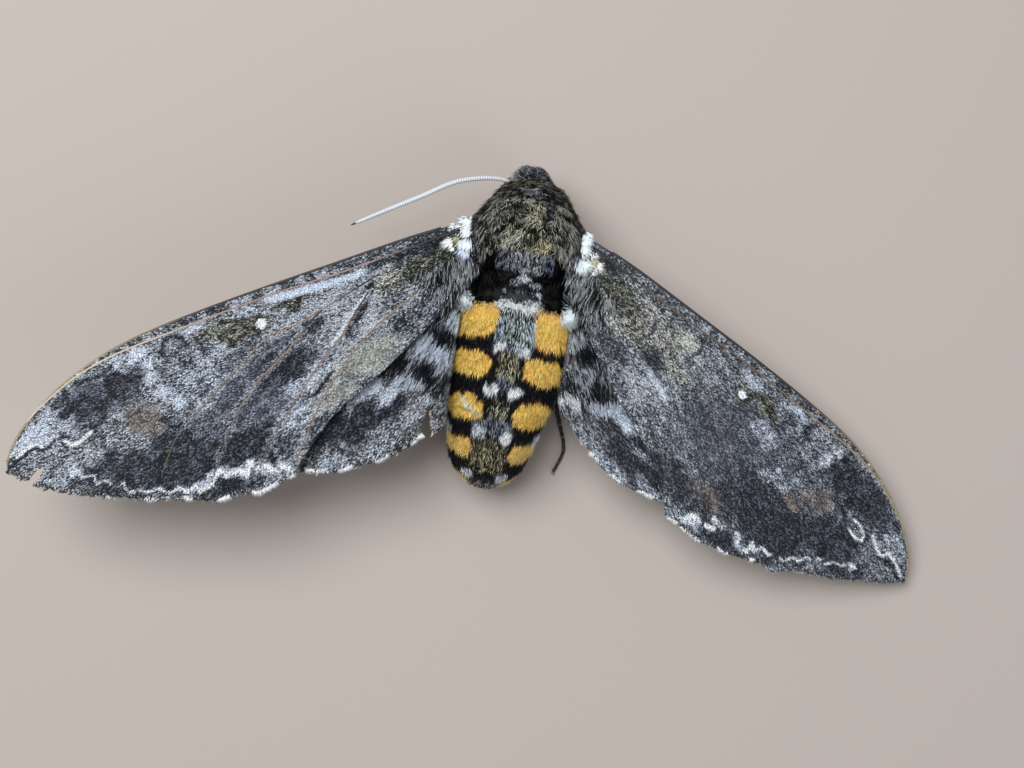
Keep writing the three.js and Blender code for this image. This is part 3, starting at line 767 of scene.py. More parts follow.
ABDOMEN_PATCHES = [
    (-0.36, 0.45, 6.9, 7.66, 0.46, tone(200, 220, 238), tone(12, 14, 18)),
    (-0.14, 0.2, 6.95, 7.5, 0.4, tone(200, 214, 214), tone(12, 14, 15)),
    (-0.2, 0.2, 7.68, 8.24, 0.48, tone(208, 206, 172), tone(12, 12, 10)),
    (-0.26, 0.22, 8.16, 8.5, 0.45, tone(150, 162, 182), tone(14, 16, 20)),
    (-0.2, 0.22, 8.62, 9.2, 0.4, tone(218, 214, 188), tone(9, 9, 9)),
    (-0.46, 0.4, 9.0, 9.5, 0.4, tone(176, 188, 208), tone(9, 11, 15)),
    (-0.44, 0.46, 9.55, 10.4, 0.33, tone(220, 214, 178), tone(10, 10, 9)),
    (-0.62, 0.6, 10.75, 12.8, 0.34, tone(222, 218, 206), tone(10, 10, 10)),
    (-0.31, -0.07, 7.54, 7.72, 0.95, tone(236, 247, 255), tone(168, 182, 204)),
    (0.16, 0.41, 7.58, 7.78, 0.95, tone(236, 247, 255), tone(168, 182, 204)),
    (-0.37, -0.07, 8.3, 8.54, 1.1, tone(240, 250, 255), tone(206, 218, 236)),
    (0.1, 0.38, 8.3, 8.56, 1.1, tone(240, 250, 255), tone(206, 218, 236)),
    (-0.5, -0.16, 9.24, 9.54, 0.84, tone(222, 234, 250), tone(90, 98, 116)),
    (0.18, 0.44, 9.32, 9.58, 1.1, tone(240, 250, 255), tone(196, 208, 228)),
    (-0.62, -0.32, 10.42, 10.78, 0.8, tone(228, 236, 244), tone(80, 84, 92)),
    (0.25, 0.58, 10.46, 10.84, 0.84, tone(232, 240, 248), tone(80, 84, 92)),
    (0.86, 1.2, 9.5, 9.86, 0.9, tone(236, 246, 255), tone(150, 160, 176)),
    (-1.2, -0.92, 9.46, 9.8, 0.8, tone(228, 238, 248), tone(110, 118, 130)),
    (-0.9, -0.6, 11.4, 12.0, 0.7, tone(214, 222, 232), tone(60, 64, 72)),
    (0.55, 0.85, 11.4, 12.0, 0.7, tone(214, 222, 232), tone(60, 64, 72)),
]
# The orange spots: from the middle out, over the flank's edge, and how far the flank end trails back.
ORANGE_SPOTS = [
    (-0.32, -1.2, 6.56, 7.5, 0.02), (0.38, 1.2, 6.62, 7.56, 0.03),
    (-0.3, -1.08, 7.7, 8.23, 0.06), (0.31, 1.06, 7.72, 8.24, 0.08),
    (-0.31, -1.06, 8.56, 9.18, 0.14), (0.33, 1.04, 8.58, 9.24, 0.16),
    (-0.41, -1.06, 9.56, 10.1, 0.34), (0.44, 1.04, 9.6, 10.18, 0.36),
    (-0.42, -1.1, 10.78, 11.3, 0.4), (0.4, 1.1, 10.8, 11.4, 0.4),
]


def rounded_box(x, y, low_x, high_x, low_y, high_y, soft, power=3.0):
    """1 inside a box with round corners, 0 outside it, over a soft edge."""
    across = np.abs((x - (low_x + high_x) / 2) / ((high_x - low_x) / 2)) ** power
    along = np.abs((y - (low_y + high_y) / 2) / ((high_y - low_y) / 2)) ** power
    return smooth((across + along) ** (1 / power), 1 + soft, 1 - soft)


def trunk_marks(station, angle, place):
    """Dark colour, pale colour and share of pale hairs over the whole trunk."""
    settings = bpy.context.scene.moth_coat
    orange = np.array(settings.orange)
    side, upper = np.cos(angle), np.sin(angle)
    wrapped = np.where(upper >= 0, side, np.sign(side) * (2 - np.abs(side)))
    wander = 0.09 * (mottle(place, 0.7, 3) - 0.5) + 0.04 * (mottle(place, 0.3, 4) - 0.5)
    across, along = side + wander, station + 1.2 * wander
    dark, pale, share = GREY_BLACK, np.array(settings.olive), 0.26

    def lay(mask, level, light, deep):
        nonlocal dark, pale, share
        dark, pale = mix(dark, deep, mask), mix(pale, light, mask)
        share = share + (level - share) * mask

    for low, high, start, end, level, light, deep in THORAX_PATCHES:
        lay(rounded_box(across, along, low, high, start, end, 0.22), level, light, deep)
    bare = smooth(along - np.interp(side, *FUR_EDGE), -0.06, 0.06)
    lay(bare, 0.06, tone(16, 16, 18), tone(3, 3, 4))
    for low, high, start, end, level, light, deep in WAIST_PATCHES:
        lay(bare * rounded_box(across, along, low, high, start, end, 0.2), level, light, deep)
    rear = smooth(station, ABDOMEN_STATION - 0.15, ABDOMEN_STATION - 0.11)
    lay(rear, 0.16, tone(40, 45, 58), BAND_BLACK)
    for low, high, start, end, level, light, deep in ABDOMEN_PATCHES:
        lay(rear * rounded_box(across, along, low, high, start, end, 0.2), level, light, deep)
    for inner, outer, start, end, trail in ORANGE_SPOTS:
        trailing = along - trail * np.maximum(np.abs(wrapped) - 0.5, 0)
        box = sorted((inner, outer))
        power = 2.8 if start < 7 else 2.2
        spots = rear * rounded_box(wrapped + 0.6 * wander, trailing, *box, start, end, 0.06, power)
        faded = 0.3 if start > 9.4 else 0
        lay(spots, 0.66, mix(orange * [1.0, 1.07, 1.42], tone(255, 232, 176), faded),
            mix(orange * [0.98, 0.9, 0.78], tone(240, 200, 120), faded))
    cream = rear * stroke(across, along * 1.4, [(-0.72, 8.78 * 1.4), (-0.4, 8.98 * 1.4)], 0.14, 0.06)
    lay(cream, 0.95, tone(255, 246, 214), tone(255, 222, 150))
    rim_line = along - (ABDOMEN_STATION - 0.03 + 0.06 * side)
    rim = rear * window(rim_line, -0.08, 0.03, 0.03) * smooth(np.abs(side), 0.44, 0.34)
    lay(rim, 0.7, tone(240, 248, 255), tone(110, 118, 128))
    reach = np.abs(wrapped)
    flank = rear * smooth(along, 7.4, 7.7) * smooth(reach, 1.0, 1.06) * smooth(reach, 1.3, 1.2)
    lay(flank * 0.8, 0.7, tone(206, 214, 224), tone(90, 94, 100))
    lay(smooth(upper, -0.3, -0.55), 0.75, UNDER_PALE, UNDER_DARK)
    return dark, pale, share


def pick_colours(dark, pale, share, rng, spread=0.34, between=(0.32, 0.72)):
    """One colour for each hair or scale: mostly dark or mostly pale, never quite the same."""
    value = share + 0.95 * (rng.random(len(share)) - 0.5)
    colour = mix(dark, pale, smooth(value, *between))
    return colour * (1 + spread * (rng.random(len(share)) - 0.5))[:, None]


# ------------------------------------------------------------------ skin
SKIN_NODES = ["head", "palp_left", "palp_right", "collar", "thorax", "tegula_left", "tegula_right",
              "metathorax", *[f"abdomen_{i}" for i in range(1, 8)],
              *[f"leg_{pair}_{side}" for pair in LEGS for side in SIDES]]
LEG_ORDER = [(pair, side) for pair in LEGS for side in SIDES]
TRUNK_GRID = (150, 112)  # rings along the trunk's skin and points in each
HEAD_GRID = (44, 64)
LEG_GRID = (14, 90)  # points round a leg's skin and steps along it
HEAD_SKIN_DEPTH, PALP_SKIN_DEPTH = 0.4, 0.14
PALP_STEPS, PALP_SIDES = 110, 24
LEG_COAT_STEPS, LEG_COAT_SIDES = 130, 11
MELT_GRAIN = 0.16
MARKS_DEPTH = 0.3  # depth under the coat's tips at which the markings are laid out


COAT_SHARES = ([0, 1, 2, 5, 6.5, 7.2, 11, 13], [0.5, 0.8, 0.9, 0.85, 0.6, 0.44, 0.4, 0.3])


def coat_depth(station):
    """Depth of the skin under the tips of the coat, least on the abdomen."""
    thick = in_mm(bpy.context.scene.moth_coat.coat_depth)
    return np.interp(station, *COAT_SHARES) * thick


def leg_radius(t):
    """Radius out to the tips of a leg's scales, from thigh to shin to foot."""
    thigh, shin = smooth(t, 0.3, 0.42), smooth(t, 0.6, 0.7)
    r = 0.72 + (0.55 - 0.72) * thigh
    return r + (0.34 - r) * shin


def leg_path(pair, side):
    """A leg's line, with its instep let down to the ground."""
    path = LEGS[pair][side]
    shin, foot = np.array(path[3]), np.array(path[4])
    instep = shin + (foot - shin) * 0.3
    instep[2] = FOOT_HEIGHT
    return [*path[:4], tuple(instep), *path[4:]]


def leg_skin_radius(t):
    """Bare leg under its scales: thinner, with a swelling at the end of each foot joint."""
    bare = leg_radius(t) - np.interp(t, [0, 0.6, 0.72, 1], [0.26, 0.22, 0.12, 0.17])
    waists = 0.025 * np.abs(np.sin(math.pi * 5 * np.clip((t - 0.7) / 0.3, 0, 1))) * (t > 0.7)
    return bare - waists


def palp_tube(sign, depth, steps):
    """A palp's rings, at a depth under its hair."""
    path = [beside_head(sign, place) for place in PALP]
    return tube(path, lambda t: (PALP_RADIUS - depth) * palp_radius(t), PALP_SIDES, steps)


def pairs_of(rows, columns):
    """Every pair of a row's and a column's value, row after row."""
    return (g.ravel() for g in np.meshgrid(rows, columns, indexing="ij"))


def full_turn(count):
    """Angles of that many places round a ring."""
    return np.linspace(0, 2 * math.pi, count, endpoint=False)


def body_shells():
    """Trunk, head and palps as overlapping shells with the skin's colours, darkened from the coat's colours
    as painted shade under the hair.
    """
    rows, columns = TRUNK_GRID
    station, angle = pairs_of(np.linspace(0.02, TAIL_STATION, rows), full_turn(columns))
    place = trunk(station, angle, coat_depth(station))
    place[:, 2] = np.maximum(place[:, 2], 0.02)
    dark, pale, share = trunk_marks(station, angle, trunk(station, angle, MARKS_DEPTH))
    # painted shade: the skin under the coat takes a darkened mix of the coat's colours, less dark under
    # mostly pale hair
    colour = mix(dark, pale, share * 0.6) * 0.6 * (1 + 0.5 * smooth(share, 0.5, 0.8))[:, None]
    colour = colour * (1 - 0.8 * window(station, 4.1, ABDOMEN_STATION - 0.18, 0.06))[:, None]
    points, faces = tube_shell(place.reshape(rows, columns, 3))
    colours = np.concatenate([colour[:columns], colour, colour[-columns:]])
    parts = [(points, faces[:, ::-1], colours)]
    rows, columns = HEAD_GRID
    tilts, turns = pairs_of(np.linspace(-1.55, 1.55, rows), full_turn(columns))
    points, faces = tube_shell(head_place(turns, tilts, HEAD_SKIN_DEPTH).reshape(rows, columns, 3))
    parts.append((points, faces[:, ::-1], face_ground(points)))
    for sign in (-1, 1):
        points, faces = tube_shell(palp_tube(sign, PALP_SKIN_DEPTH, 26)[0])
        parts.append((points, faces, face_ground(points)))
    return join(parts)


def merged(points, faces, colours, grain):
    """Overlapping shells melted into one, with no seam, keeping the nearest colour."""
    mesh = bpy.data.meshes.new("melt")
    mesh.from_pydata(points.tolist(), [], faces.tolist())
    obj = bpy.data.objects.new("melt", mesh)
    bpy.context.scene.collection.objects.link(obj)
    melt = obj.modifiers.new("melt", "REMESH")
    melt.mode = "VOXEL"
    melt.voxel_size = grain
    ease = obj.modifiers.new("ease", "SMOOTH")
    ease.factor, ease.iterations = 0.5, 4
    bpy.context.view_layer.update()
    result = obj.evaluated_get(bpy.context.evaluated_depsgraph_get()).to_mesh()
    count = len(result.vertices)
    out = np.empty(count * 3, np.float32)
    result.vertices.foreach_get("co", out)
    quads = np.array([tuple(p.vertices) for p in result.polygons], dtype=np.int32)
    tree = kdtree.KDTree(len(points))
    for i, p in enumerate(points):
        tree.insert(p, i)
    tree.balance()
    out = out.reshape(-1, 3)
    nearest = np.array([tree.find(p)[1] for p in out])
    bpy.data.objects.remove(obj)
    bpy.data.meshes.remove(mesh)
    return out.astype(float), quads, colours[nearest]


class MOTH_OT_skin(bpy.types.Operator):
    """The skin of head, palps, body and legs in one piece"""

    bl_idname = "moth.skin"
    bl_label = "Skin"

    def execute(self, context):
        parts = [merged(*body_shells(), MELT_GRAIN)]
        for pair, side in LEG_ORDER:
            rings = tube(leg_path(pair, side), leg_skin_radius, *LEG_GRID)[0]
            rings[..., 2] = np.maximum(rings[..., 2], 0.01)
            parts.append(one_colour(tube_shell(rings), LEG_BROWN))
        make_piece("skin", *join(parts), finish("skin", 0.7, bump=SKIN_BUMPS), "black_coat",
                   replaces=SKIN_NODES)
        return {"FINISHED"}


# ------------------------------------------------------------------ eyes, feelers, tongue, claws
EYE_GRID = (48, 72)


class MOTH_OT_eyes(bpy.types.Operator):
    """Round, finely faceted eyes"""

    bl_idname = "moth.eyes"
    bl_label = "Eyes"

    def execute(self, context):
        settings = context.scene.moth_eyes
        rows, columns = EYE_GRID
        tilts, turns = pairs_of(np.linspace(-math.pi / 2, math.pi / 2, rows), full_turn(columns))
        ball = np.stack([np.cos(tilts) * np.cos(turns), np.cos(tilts) * np.sin(turns), np.sin(tilts)], -1)
        for side, hold in SIDES.items():
            points = beside_head(hold["sign"], EYE_PLACE) + ball * (EYE_RADIUS - 0.03)
            make_piece(f"eye_{side}_ball", points, grid_faces(rows, columns, True), settings.colour,
                       eye_finish(settings), "eye", replaces=[f"eye_{side}"])
        return {"FINISHED"}


FEELER_RINGS, FEELER_STEPS, FEELER_SIDES = 78, 5 * 78, 14


def feeler_rings(t):
    """1 on each ring of a feeler and 0 in the grooves between."""
    return np.abs(np.sin(math.pi * FEELER_RINGS * t)) ** 0.6


def feeler_radius(t):
    """A slender club with a thick first joint, a pointed tip and its rings."""
    swell = 0.19 + 0.055 * np.sin(math.pi * np.clip(t * 1.05, 0, 1))
    point = np.sqrt(np.clip((1.0 - t) / 0.07, 0.02, 1))
    scape = 0.12 * smooth(t, 0.075, 0.05)
    return (swell + scape) * point * (0.91 + 0.09 * feeler_rings(t))


class MOTH_OT_feelers(bpy.types.Operator):
    """Ringed feelers, white above and brown beneath, with small dark tips"""

    bl_idname = "moth.feelers"
    bl_label = "Feelers"

    def execute(self, context):
        rng = np.random.default_rng(11)
        for side in SIDES:
            rings, t, normal, _ = tube(FEELERS[side], feeler_radius, FEELER_SIDES, FEELER_STEPS)
            points, faces = tube_shell(rings)
            up = np.concatenate([normal[:1], normal, normal[-1:]])[..., 2].ravel()
            share = np.concatenate([t[:1], t, t[-1:]]).repeat(FEELER_SIDES)
            groove = 1 - feeler_rings(share)
            white = mix(tone(218, 226, 234), tone(160, 168, 178), groove)
            brown = mix(tone(132, 106, 80), tone(70, 52, 38), groove)
            colours = mix(brown, white, smooth(up, -0.35, 0.1))
            colours = mix(colours, tone(58, 50, 44), smooth(share, 0.955, 0.975))
            colours = colours * (1 + 0.12 * (rng.random(len(share)) - 0.5))[:, None]
            make_piece(f"feeler_{side}", points, faces, colours, finish("feeler", 0.55), "antenna",
                       replaces=[f"antenna_{side}"])
        return {"FINISHED"}


TONGUE_TURNS, TONGUE_RIDGES, TONGUE_STEPS = 2.6, 95, 420


class MOTH_OT_tongue(bpy.types.Operator):
    """The coiled tongue between the palps"""

    bl_idname = "moth.tongue"
    bl_label = "Tongue"

    def execute(self, context):
        turns = np.linspace(0, 2 * math.pi * TONGUE_TURNS, 90)
        coil = 0.84 - 0.044 * turns
        turned = turns + 1.9
        path = TONGUE_CENTRE + np.stack([0 * coil, coil * np.cos(turned), coil * np.sin(turned)], -1)
        t = np.linspace(0, 1, TONGUE_STEPS)
        centre = spline(path, t)
        across = np.tile([1.0, 0, 0], (TONGUE_STEPS, 1))
        up = np.cross(unit(np.gradient(centre, axis=0)), across)
        ridge = 1 + 0.05 * np.sin(2 * math.pi * TONGUE_RIDGES * t)
        radius = np.interp(t, [0, 0.9, 1], [0.17, 0.09, 0.05]) * ridge
        rings = centre[:, None] + radius[:, None, None] * ring_directions(1.5 * across, up, 16)
        make_piece("tongue_coil", *tube_shell(rings), mix(tone(122, 78, 44), tone(62, 36, 20), 0.4),
                   finish("horn", 0.32, coat=0.3), "tongue", replaces=["tongue"])
        return {"FINISHED"}


# Claws and spurs: places ahead of their root, out to the side and up; and where the spurs grow.
CLAW = ((0.16, 0.1, 0.06), (0.3, 0.2, -0.04), (0.34, 0.24, -0.2))
SPUR = ((0.5, 0.34, -0.05), (1.0, 0.42, -0.12))
SPUR_LENGTHS = {-1: 1.0, 1: 0.75}
CLAW_BROWN, SPUR_GREY, LEG_BROWN = tone(52, 32, 22), tone(64, 60, 58), tone(46, 43, 41)
CLAW_STEPS = 100  # rings along a leg, among which the roots of claws and spurs are found
SPUR_PLACES = {"front": [0.56], "mid": [0.66], "hind": [0.58, 0.66]}


class MOTH_OT_claws(bpy.types.Operator):
    """Claws at the foot tips and spurs on the shins"""

    bl_idname = "moth.claws"
    bl_label = "Claws and spurs"

    def execute(self, context):
        parts = []

        def add_spike(path, radius, low, colour):
            rings = tube(path, radius, 8, 8)[0]
            rings[..., 2] = np.maximum(rings[..., 2], low)
            parts.append(one_colour(tube_shell(rings), colour))

        for pair, side in LEG_ORDER:
            rings, _, _, ahead = tube(leg_path(pair, side), leg_skin_radius, 8, CLAW_STEPS)
            tip, forward = rings[-1].mean(0), ahead[-1]
            across = unit(np.cross([0, 0, 1.0], forward))
            for sign in (-1, 1):
                claw = [tip + a * forward + sign * b * across + [0, 0, c] for a, b, c in CLAW]
                claw.insert(0, tip - 0.05 * forward)
                add_spike(claw, lambda t: 0.05 * (1 - 0.85 * t), 0.01, CLAW_BROWN)
            for share in SPUR_PLACES[pair]:
                step = int(share * CLAW_STEPS)
                root, forward = rings[step].mean(0), ahead[step]
                across = unit(np.cross([0, 0, 1.0], forward))
                for sign, length in SPUR_LENGTHS.items():
                    spur = [root + length * (a * forward + b * sign * across) + [0, 0, c] for a, b, c in SPUR]
                    add_spike([root, *spur], lambda t: 0.085 * (1 - 0.8 * t), 0.05, SPUR_GREY)
        make_piece("claws_and_spurs", *join(parts), finish("horn_dark", 0.4), "leg")
        return {"FINISHED"}


# ------------------------------------------------------------------ wing markings
# Scale colours: the pale ones, and the dark ones that lie between them.
GREY = (tone(190, 199, 212), tone(34, 38, 47))
BLUE = (tone(206, 218, 236), tone(40, 44, 54))
CLEAR_BLUE = (tone(204, 218, 238), tone(172, 186, 206))
CLEAR_WHITE = (tone(238, 243, 248), tone(196, 204, 214))
LINE_WHITE = (tone(236, 243, 250), tone(134, 142, 154))
CLEAR_CREAM = (tone(240, 241, 232), tone(204, 203, 186))
OLIVE_TUFT = (tone(186, 180, 156), tone(96, 92, 74))
PUFF_WHITE = (tone(232, 245, 255), tone(208, 226, 250))
YELLOW = (tone(184, 188, 183), tone(104, 108, 108))
CREAM = (tone(208, 210, 204), tone(28, 31, 35))
OLIVE = (tone(170, 174, 160), tone(20, 22, 22))
BROWN = (tone(150, 143, 141), tone(66, 62, 64))
PURPLE = (tone(146, 154, 171), tone(46, 49, 60))
DEEP = (tone(116, 124, 141), tone(19, 21, 28))

# Cloudy marks, in the wing's plane: place, reach along and across the wing, share of pale scales
# and colours. Later ones lie over earlier ones.
FORE_CLOUDS = {
    "left": [
        (1.4, 0.3, 3.4, 2.2, 0.08, DEEP), (5, -1.6, 3.2, 1.5, 0.12, DEEP), (8.6, -3.2, 3.6, 0.8, 0.2, DEEP),
        (24, 3, 7, 3.5, 0.34, PURPLE), (27, 7, 7, 3, 0.3, PURPLE), (37, 5.6, 5.5, 3.2, 0.16, DEEP),
        (31, 8.6, 6.5, 1.4, 0.12, DEEP), (27.4, 10, 2.6, 1.2, 0.2, DEEP), (41.5, 4.2, 3, 1.6, 0.24, DEEP),
        (43, 1.8, 4.5, 1.5, 0.44, GREY), (39.4, 1, 1.6, 1.4, 0.3, GREY), (47.4, 1, 2.2, 1.2, 0.42, GREY),
        (38, -2, 6, 2, 0.34, DEEP), (27.6, -1.6, 4, 2, 0.34, GREY), (23.8, -1.6, 2.6, 1.4, 0.5, GREY),
        (8.5, -1.9, 4, 1, 0.26, GREY), (7.6, 5, 3.4, 2.4, 0.26, GREY), (16.4, 8.9, 3, 1.2, 0.32, GREY),
        (22.4, 10.4, 3.2, 1.8, 0.26, GREY), (36.6, 2.4, 2.8, 2.4, 0.5, GREY),
        (25.6, -0.5, 1.6, 0.9, 0.62, GREY), (35.6, -4.3, 2.2, 0.7, 0.72, BLUE),
        (30.4, 11, 4.6, 1.8, 0.14, DEEP), (29.5, 0.8, 3, 1.8, 0.36, BLUE), (15, -0.3, 6, 0.9, 0.58, GREY),
        (12.6, 1.6, 3, 1.1, 0.62, GREY), (12.6, 3.2, 1.8, 1, 0.74, GREY), (17.4, 3, 3, 1, 0.46, GREY),
        (21.4, 3.8, 3.4, 1.8, 0.2, DEEP), (16.8, 1.3, 1.3, 0.7, 0.16, DEEP), (26, 3.4, 2.2, 1, 0.3, PURPLE),
        (17.8, 5.9, 4.2, 1, 0.62, BLUE), (22, 8.6, 3, 1.2, 0.58, BLUE), (14, 6.6, 4, 1.5, 0.56, YELLOW),
        (18.4, 8.6, 2.6, 0.8, 0.6, YELLOW), (8, 0.8, 2.4, 1.2, 0.36, CREAM),
        (4, 1.2, 2.8, 1.2, 0.16, OLIVE), (17.6, -1.5, 1.9, 0.5, 0.16, OLIVE),
        (23.6, -1.3, 1.9, 1, 0.3, OLIVE), (25.8, -2.8, 1.4, 0.8, 0.4, OLIVE),
        (22.4, -3.1, 1.2, 0.5, 0.7, BLUE), (27.9, -3.6, 1.3, 0.45, 0.86, BLUE),
        (33.5, -4.4, 1.5, 0.5, 0.9, BLUE), (32.6, -2.7, 0.8, 0.9, 0.86, BLUE),
        (33.1, -1.3, 0.9, 0.7, 0.74, BLUE), (32.8, 0.2, 0.8, 0.6, 0.85, BLUE),
        (31.6, 2, 0.7, 0.6, 0.84, BLUE), (30, 3.2, 1, 0.5, 0.6, BLUE), (35.8, 1.7, 1.6, 1.7, 0.46, BROWN),
        (35, 3.4, 1.3, 0.6, 0.46, BROWN), (45, -1.4, 2.6, 1.4, 0.72, BLUE), (47.3, -1.4, 2, 1, 0.8, BLUE),
        (43.6, 3.5, 0.9, 0.7, 0.75, BLUE), (29.6, 10.5, 1.3, 0.7, 0.7, BLUE),
        (32.8, 9.9, 1.8, 0.5, 0.7, BLUE), (26.4, 12.2, 1.2, 0.6, 0.76, BLUE), (42, 1, 1.5, 0.6, 0.5, GREY),
    ],
    "right": [
        (1.4, 0.5, 3.4, 2.2, 0.08, DEEP), (10.5, 1.4, 8, 2.2, 0.34, CREAM), (15.6, 5.6, 6, 2.4, 0.36, GREY),
        (25, 3.5, 7, 5, 0.18, PURPLE), (33, 6, 6, 3.6, 0.06, DEEP), (39, -2.6, 6.5, 1.8, 0.12, DEEP),
        (40, 3, 4, 2, 0.16, DEEP), (29, 7.2, 2.4, 1, 0.06, DEEP), (35, 7, 4, 1.6, 0.08, DEEP),
        (8.2, 5.6, 3.6, 2, 0.12, GREY), (44.6, 4.4, 2.6, 1.6, 0.14, DEEP), (27, 9, 2.4, 1.2, 0.34, BROWN),
        (22, 10.2, 3.4, 1.6, 0.14, DEEP), (30, 10.8, 4.6, 1.6, 0.14, DEEP), (5, 0.9, 2.8, 1, 0.16, OLIVE),
        (4.6, 2.8, 3, 0.8, 0.5, CREAM), (12, 3.1, 1.6, 0.9, 0.14, DEEP), (8.4, 3.3, 1.6, 0.7, 0.3, CREAM),
        (16.2, -1.2, 2.6, 1, 0.5, GREY), (14, -0.4, 1.6, 1, 0.66, CREAM), (13.4, 6.2, 2.4, 1.2, 0.6, GREY),
        (14.6, 4.8, 2, 0.5, 0.78, BLUE), (16.6, 0.6, 2.2, 1.4, 0.4, GREY),
        (21.8, -2.7, 1.4, 0.5, 0.66, BLUE), (24.4, -1.6, 2, 0.8, 0.3, OLIVE),
        (26.2, 0.3, 1.8, 1, 0.46, BLUE), (27.7, -3.5, 1.3, 0.45, 0.92, BLUE),
        (33.2, -2.5, 0.9, 1, 0.78, BLUE), (34, -4.2, 0.9, 0.4, 0.84, BLUE), (31, 2.6, 2.2, 0.8, 0.36, BLUE),
        (35.8, 0.9, 1.5, 1.5, 0.42, BROWN), (34.2, 3, 1.2, 0.6, 0.42, BROWN),
        (46.2, -1.6, 2.8, 1.1, 0.44, BLUE), (46.6, 1.4, 2, 1, 0.3, GREY), (41.6, 0.2, 1.2, 0.55, 0.6, GREY),
        (27.2, 12, 1.2, 0.5, 0.86, BLUE), (43.6, 3.6, 0.9, 0.5, 0.6, BLUE), (33, 9.9, 1.4, 0.4, 0.66, BLUE),
    ],
}
# Drawn marks: the line, its width, the share of pale scales and colours.
FORE_LINES = {
    "left": [
        ([(10, 0), (11, 1.2), (12.4, 2.4), (14.2, 3.6)], 0.75, 0.04, DEEP),
        ([(22.2, -1.2), (23.4, -1), (25.2, -0.5)], 0.35, 0.08, OLIVE),
        ([(21, -1.9), (22.6, -2.1), (24, -2.9), (24.8, -3.2)], 0.4, 0.1, OLIVE),
        ([(29.8, -4.3), (28.8, -3.6), (28.9, -2.7)], 0.6, 0.06, DEEP),
        ([(30.4, -4.2), (31.4, -3.2), (31, -2.4)], 0.35, 0.12, DEEP),
        ([(35.2, -2.4), (36.4, -2.9), (37.4, -2.2)], 0.8, 0.08, DEEP),
        ([(37.4, -1.6), (38.6, -0.9), (39, 0.1), (40.4, 0.5)], 0.7, 0.08, DEEP),
        ([(38.6, -1.9), (40.2, -1.2), (41.2, -1.7)], 0.5, 0.12, DEEP),
        ([(39.8, -2.8), (41.2, -2.5), (42.6, -2)], 0.8, 0.06, DEEP),
        ([(36.2, -4.2), (38.2, -3.9), (40, -4.2)], 0.5, 0.16, DEEP),
        ([(41.4, -3.9), (43, -3.3)], 0.5, 0.14, DEEP),
        ([(25.2, 7.9), (28, 7.8), (31, 7.2)], 0.7, 0.06, DEEP), ([(17.3, 6.3), (20, 7.5)], 0.3, 0.08, DEEP),
        ([(34, 2.6), (33.2, 4.6), (34.6, 6.4)], 0.5, 0.12, DEEP),
        ([(10.7, 0.9), (13.6, 2.4), (16, 3.9)], 0.36, 0.9, LINE_WHITE),
        ([(10.4, -1.15), (14, -1.65), (17, -2.3), (19.6, -3)], 0.56, 1.25, CLEAR_BLUE),
        ([(14.6, -1.85), (17.6, -2.4), (19.8, -3.05)], 0.62, 1.25, CLEAR_BLUE),
        ([(40.6, 0.6), (42.2, 1.05), (43.2, 0.9), (43.45, 0.3), (43.3, -0.1)], 0.75, 0.1, DEEP),
        ([(40.8, 0.62), (42.2, 1), (43.1, 0.9), (43.4, 0.2)], 0.36, 1, CLEAR_WHITE),
        (
            [(44.2, -0.3), (45, 0), (45.8, -0.1), (46.2, -0.5), (47, -0.5), (48.2, -0.2), (49.6, 0.2)], 0.3,
            0.02, DEEP,
        ),
        ([(45.6, -0.35), (46.3, -0.8), (47.2, -0.8), (48.4, -0.5)], 0.22, 0.95, LINE_WHITE),
    ],
    "right": [
        ([(9.8, 0.2), (10.2, 1.4), (9.8, 2.8)], 0.4, 0.16, DEEP),
        ([(14.6, -2.2), (15.2, -0.6), (14.8, 0.6)], 0.4, 0.2, DEEP),
        ([(22.2, -1.2), (23.2, -1.8), (24.6, -2.9)], 0.45, 0.08, OLIVE),
        ([(29.8, -4.2), (29.2, -3.2), (30.2, -2.6)], 0.6, 0.1, DEEP),
        ([(35, -3.9), (38, -3.6), (41, -3.9)], 0.8, 0.06, DEEP),
        ([(36, -2.3), (39, -1.6), (42, -2.2)], 0.9, 0.06, DEEP),
        ([(37.2, -0.4), (39.2, 0.1), (40.6, 1.3), (42.6, 1.6)], 0.7, 0.06, DEEP),
        ([(27.6, 7.2), (30, 7.4), (32.4, 6.9)], 0.9, 0.04, DEEP),
        ([(19.8, 8.6), (22, 10.2), (24.4, 11.6)], 0.35, 0.1, DEEP),
        ([(40.2, -0.2), (41.6, -0.4), (42.6, 0.1), (43, 0.6), (42, 1.1), (40.6, 0.8)], 0.7, 0.1, DEEP),
        (
            [(40.4, -0.25), (41.5, -0.35), (42.5, 0.1), (42.8, 0.65), (41.9, 1), (40.7, 0.75)], 0.28, 0.95,
            LINE_WHITE,
        ),
        ([(45.4, 0.7), (46.4, 0.3), (47.8, 0.2), (49, 0.6)], 0.3, 0.08, DEEP),
        (
            [(43.3, -0.5), (44.9, 0.1), (45.7, 0.2), (46.1, -0.5), (47.6, -0.3), (49, 0.2)], 0.3, 0.95,
            LINE_WHITE,
        ),
    ],
}
